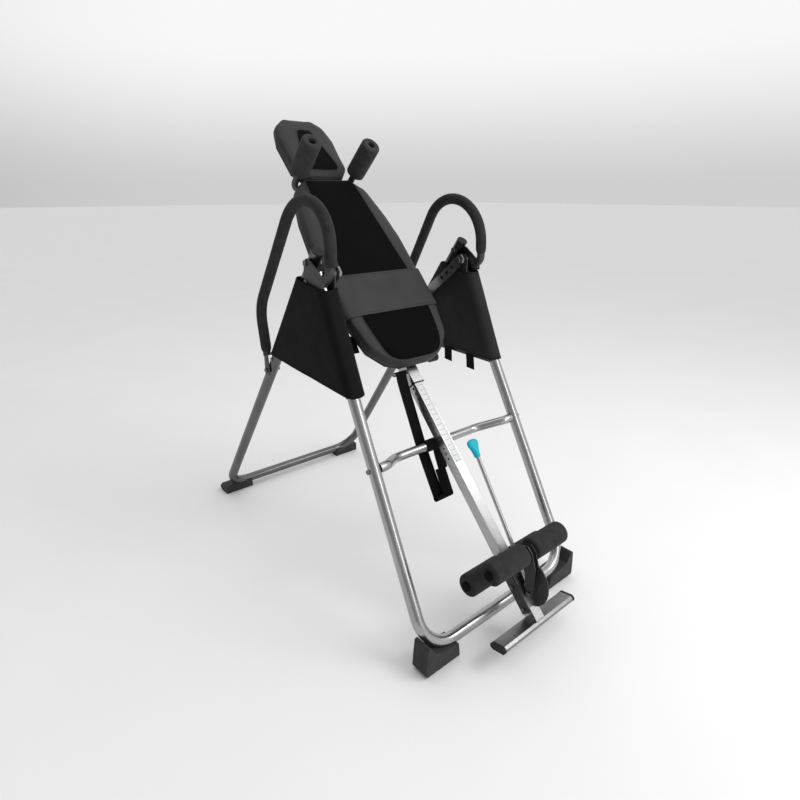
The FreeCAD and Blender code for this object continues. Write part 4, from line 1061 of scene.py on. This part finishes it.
def tether_strap():
    """Webbing from the bed's anchor, past the crossbar, and back up to a sleeve round it."""
    strap_low, strap_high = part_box("tether_strap")
    west = strap_low.x / MM
    east = strap_high.x / MM
    anchor_low, anchor_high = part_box("strap_anchor")
    anchor = (anchor_low + anchor_high) / 2
    bar_low, bar_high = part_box("crossbar")
    bar = Vector((0.0, bar_high.y - CROSSBAR_RADIUS, bar_low.z + CROSSBAR_RADIUS))
    runs = [
        strap_band("run_main", MAIN_RUN, west, west + 40.0, PLY),
        strap_band("run_fold", FOLD_RUN, west, west + 70.0, PLY),
        strap_band("run_back", BACK_RUN, west + 30.0, west + 70.0, 2 * PLY),
        strap_band("run_last", LAST_RUN, west + 42.0, east - 6.0, PLY),
        strap_loop("loop_top", anchor, 5.6, west, west + 40.0, PLY),
        strap_loop("loop_bar", bar, 16.8, -50.0, 20.0, 4.2),
    ]
    whole = merged("webbing_strap", runs)
    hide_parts("tether_strap")
    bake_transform(whole)


# ---- small parts

def pin_spring():
    """Coil spring inside the pin's housing."""
    low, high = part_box("pin_spring")
    centre = (low + high) / 2
    turns = 9
    steps = 22
    coil = 0.0057
    line = []
    for step in range(turns * steps + 1):
        turn = 2 * math.pi * step / steps
        along = low.x + 0.001 + (high.x - low.x - 0.002) * step / (turns * steps)
        line.append(Vector((along, centre.y + coil * math.cos(turn), centre.z + coil * math.sin(turn))))
    spring = tube_along("coil_spring", line, [0.00075] * len(line), BOLT, 8)
    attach(spring, "table")
    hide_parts("pin_spring")
    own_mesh(spring)


def lever_paddle():
    """Teal knob of the ankle lever: a flattened drop on a short socket."""
    low, high = bed_box("lever_knob")
    pivot = BED_INVERSE @ Vector(joints["ankle_lever_swing"]["pos_m"]) / MM
    pivot.x = (low.x + high.x) / 2
    lean = math.radians(9.0)
    axis = Vector((0, math.cos(lean), math.sin(lean)))
    up = Vector((0, -math.sin(lean), math.cos(lean)))
    start = 408.0
    # Sections of the drop: (along, half width, half thickness) in millimetres.
    sections = [(0.0, 8.8, 8.2), (1.5, 9.8, 9.0), (14.0, 10.4, 9.4), (24.0, 13.5, 9.4), (34.0, 19.0, 9.0),
                (43.0, 22.0, 8.4), (50.0, 20.5, 7.4), (54.6, 13.5, 5.2), (56.0, 4.0, 1.8)]
    around = 28
    rings = []
    for along, wide, thick in sections:
        centre = pivot + axis * (start + along) + up * 3.0
        ring = []
        for step in range(around):
            turn = 2 * math.pi * step / around
            ring.append(bed(*(centre + Vector((wide * math.cos(turn), 0, 0)) + up * thick * math.sin(turn))))
        rings.append(ring)
    piece = skin("lever_paddle", rings, TEAL, True)
    subdivide(piece, 1)
    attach(piece, "ankle_lever")
    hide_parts("lever_knob")


def scale_marks():
    """Marks printed across the height scale, a full one at each hole of the boom."""
    low, high = bed_box("height_scale")
    points = []
    faces = []
    hole_pitch = 17.5
    pitch = hole_pitch / 4
    count = int((high.y - low.y - 8) / pitch)
    face = high.z + 0.12
    for index in range(count + 1):
        along = high.y - 5 - pitch * index
        full = index % 4 == 0
        long = high.x - low.x - 3.0 if full else (8.0 if index % 2 == 0 else 5.0)
        thick = 0.55 if full else 0.4
        edge = high.x - 1.5
        first = len(points)
        corners = ((edge - long, -thick), (edge, -thick), (edge, thick), (edge - long, thick))
        for depth in (0.0, 0.1):
            points += [bed(across, along + shift, face - depth) for across, shift in corners]
        faces.append((first, first + 1, first + 2, first + 3))
        faces.append((first + 7, first + 6, first + 5, first + 4))
        for corner in range(4):
            after = (corner + 1) % 4
            faces.append((first + corner, first + 4 + corner, first + 4 + after, first + after))
    piece = mesh_piece("scale_ticks", points, faces, PRINT, smooth=False)
    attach(piece, "boom")


# ---- stage, light and camera

def stage():
    """Paper floor, and a pale studio that darkens towards -X and near the horizon."""
    floor_mesh = bpy.data.meshes.new("studio_floor")
    reach = 60.0
    corners = [(-reach, -reach), (reach, -reach), (reach, reach), (-reach, reach)]
    floor_mesh.from_pydata([(*corner, -0.0005) for corner in corners], [], [(0, 1, 2, 3)])
    floor = bpy.data.objects.new("studio_floor", floor_mesh)
    bpy.context.scene.collection.objects.link(floor)
    paper = Finish("floor_paper", 0.85)
    paper.colour(paper.noise(2.0, 3.0), grey(0.93), grey(0.95))
    floor.data.materials.append(paper.material)

    world = bpy.data.worlds.new("studio")
    world.use_nodes = True
    tree = world.node_tree
    place = add_node(tree, "ShaderNodeTexCoord", {})
    parts = add_node(tree, "ShaderNodeSeparateXYZ", {"Vector": place.outputs["Generated"]})
    sweep = add_node(tree, "ShaderNodeMapRange", {"From Min": -1.0, "Value": parts.outputs["X"]})
    walls = add_node(tree, "ShaderNodeValToRGB", {"Fac": sweep.outputs["Result"]})
    walls.color_ramp.interpolation = "EASE"
    for element, spot, level in zip(walls.color_ramp.elements, (0.1, 0.7), (0.34, 0.94)):
        element.position = spot
        element.color = (*grey(level), 1.0)
    haze = add_node(tree, "ShaderNodeMapRange",
                    {"From Max": 0.22, "To Min": 0.66, "Value": parts.outputs["Z"]},
                    interpolation_type="SMOOTHSTEP")
    background = tree.nodes["Background"]
    tree.links.new(walls.outputs["Color"], background.inputs["Color"])
    tree.links.new(haze.outputs["Result"], background.inputs["Strength"])
    bpy.context.scene.world = world


def soft_light(name, spot, target, size, power):
    """Area light that looks at a target."""
    lamp = bpy.data.lights.new(name, "AREA")
    lamp.shape = "RECTANGLE"
    lamp.size = size[0]
    lamp.size_y = size[1]
    lamp.energy = power
    item = bpy.data.objects.new(name, lamp)
    item.location = spot
    item.rotation_euler = (Vector(target) - Vector(spot)).to_track_quat("-Z", "Y").to_euler()
    bpy.context.scene.collection.objects.link(item)


def lights():
    middle = (0.0, -0.05, 0.75)
    soft_light("key_light", (1.6, -2.4, 2.9), middle, (1.4, 1.4), 36.0)
    soft_light("strip_light", (0.6, -3.0, 1.4), middle, (0.5, 1.8), 12.0)
    soft_light("top_light", (-0.3, 0.6, 3.4), middle, (2.2, 2.2), 9.0)


def camera():
    """Camera fitted to the photograph."""
    lens = bpy.data.cameras.new("photo_camera")
    lens.lens = 24.38
    lens.sensor_width = 36.0
    eye = bpy.data.objects.new("photo_camera", lens)
    eye.location = (-1.0782, APEX_Y * MM - 1.3198, 1.2087)
    eye.rotation_euler = Euler((math.radians(90 - 20.9), 0.0, math.radians(-40.0)))
    bpy.context.scene.collection.objects.link(eye)
    bpy.context.scene.camera = eye
    bpy.context.scene.view_settings.view_transform = "Standard"


finish_cad_nodes()
stage()
lights()
camera()
rollers()
shoulder_grips()
handlebar_foam()
lumbar_belt(backrest())
headrest()
side_covers()
tether_strap()
pin_spring()
lever_paddle()
scale_marks()
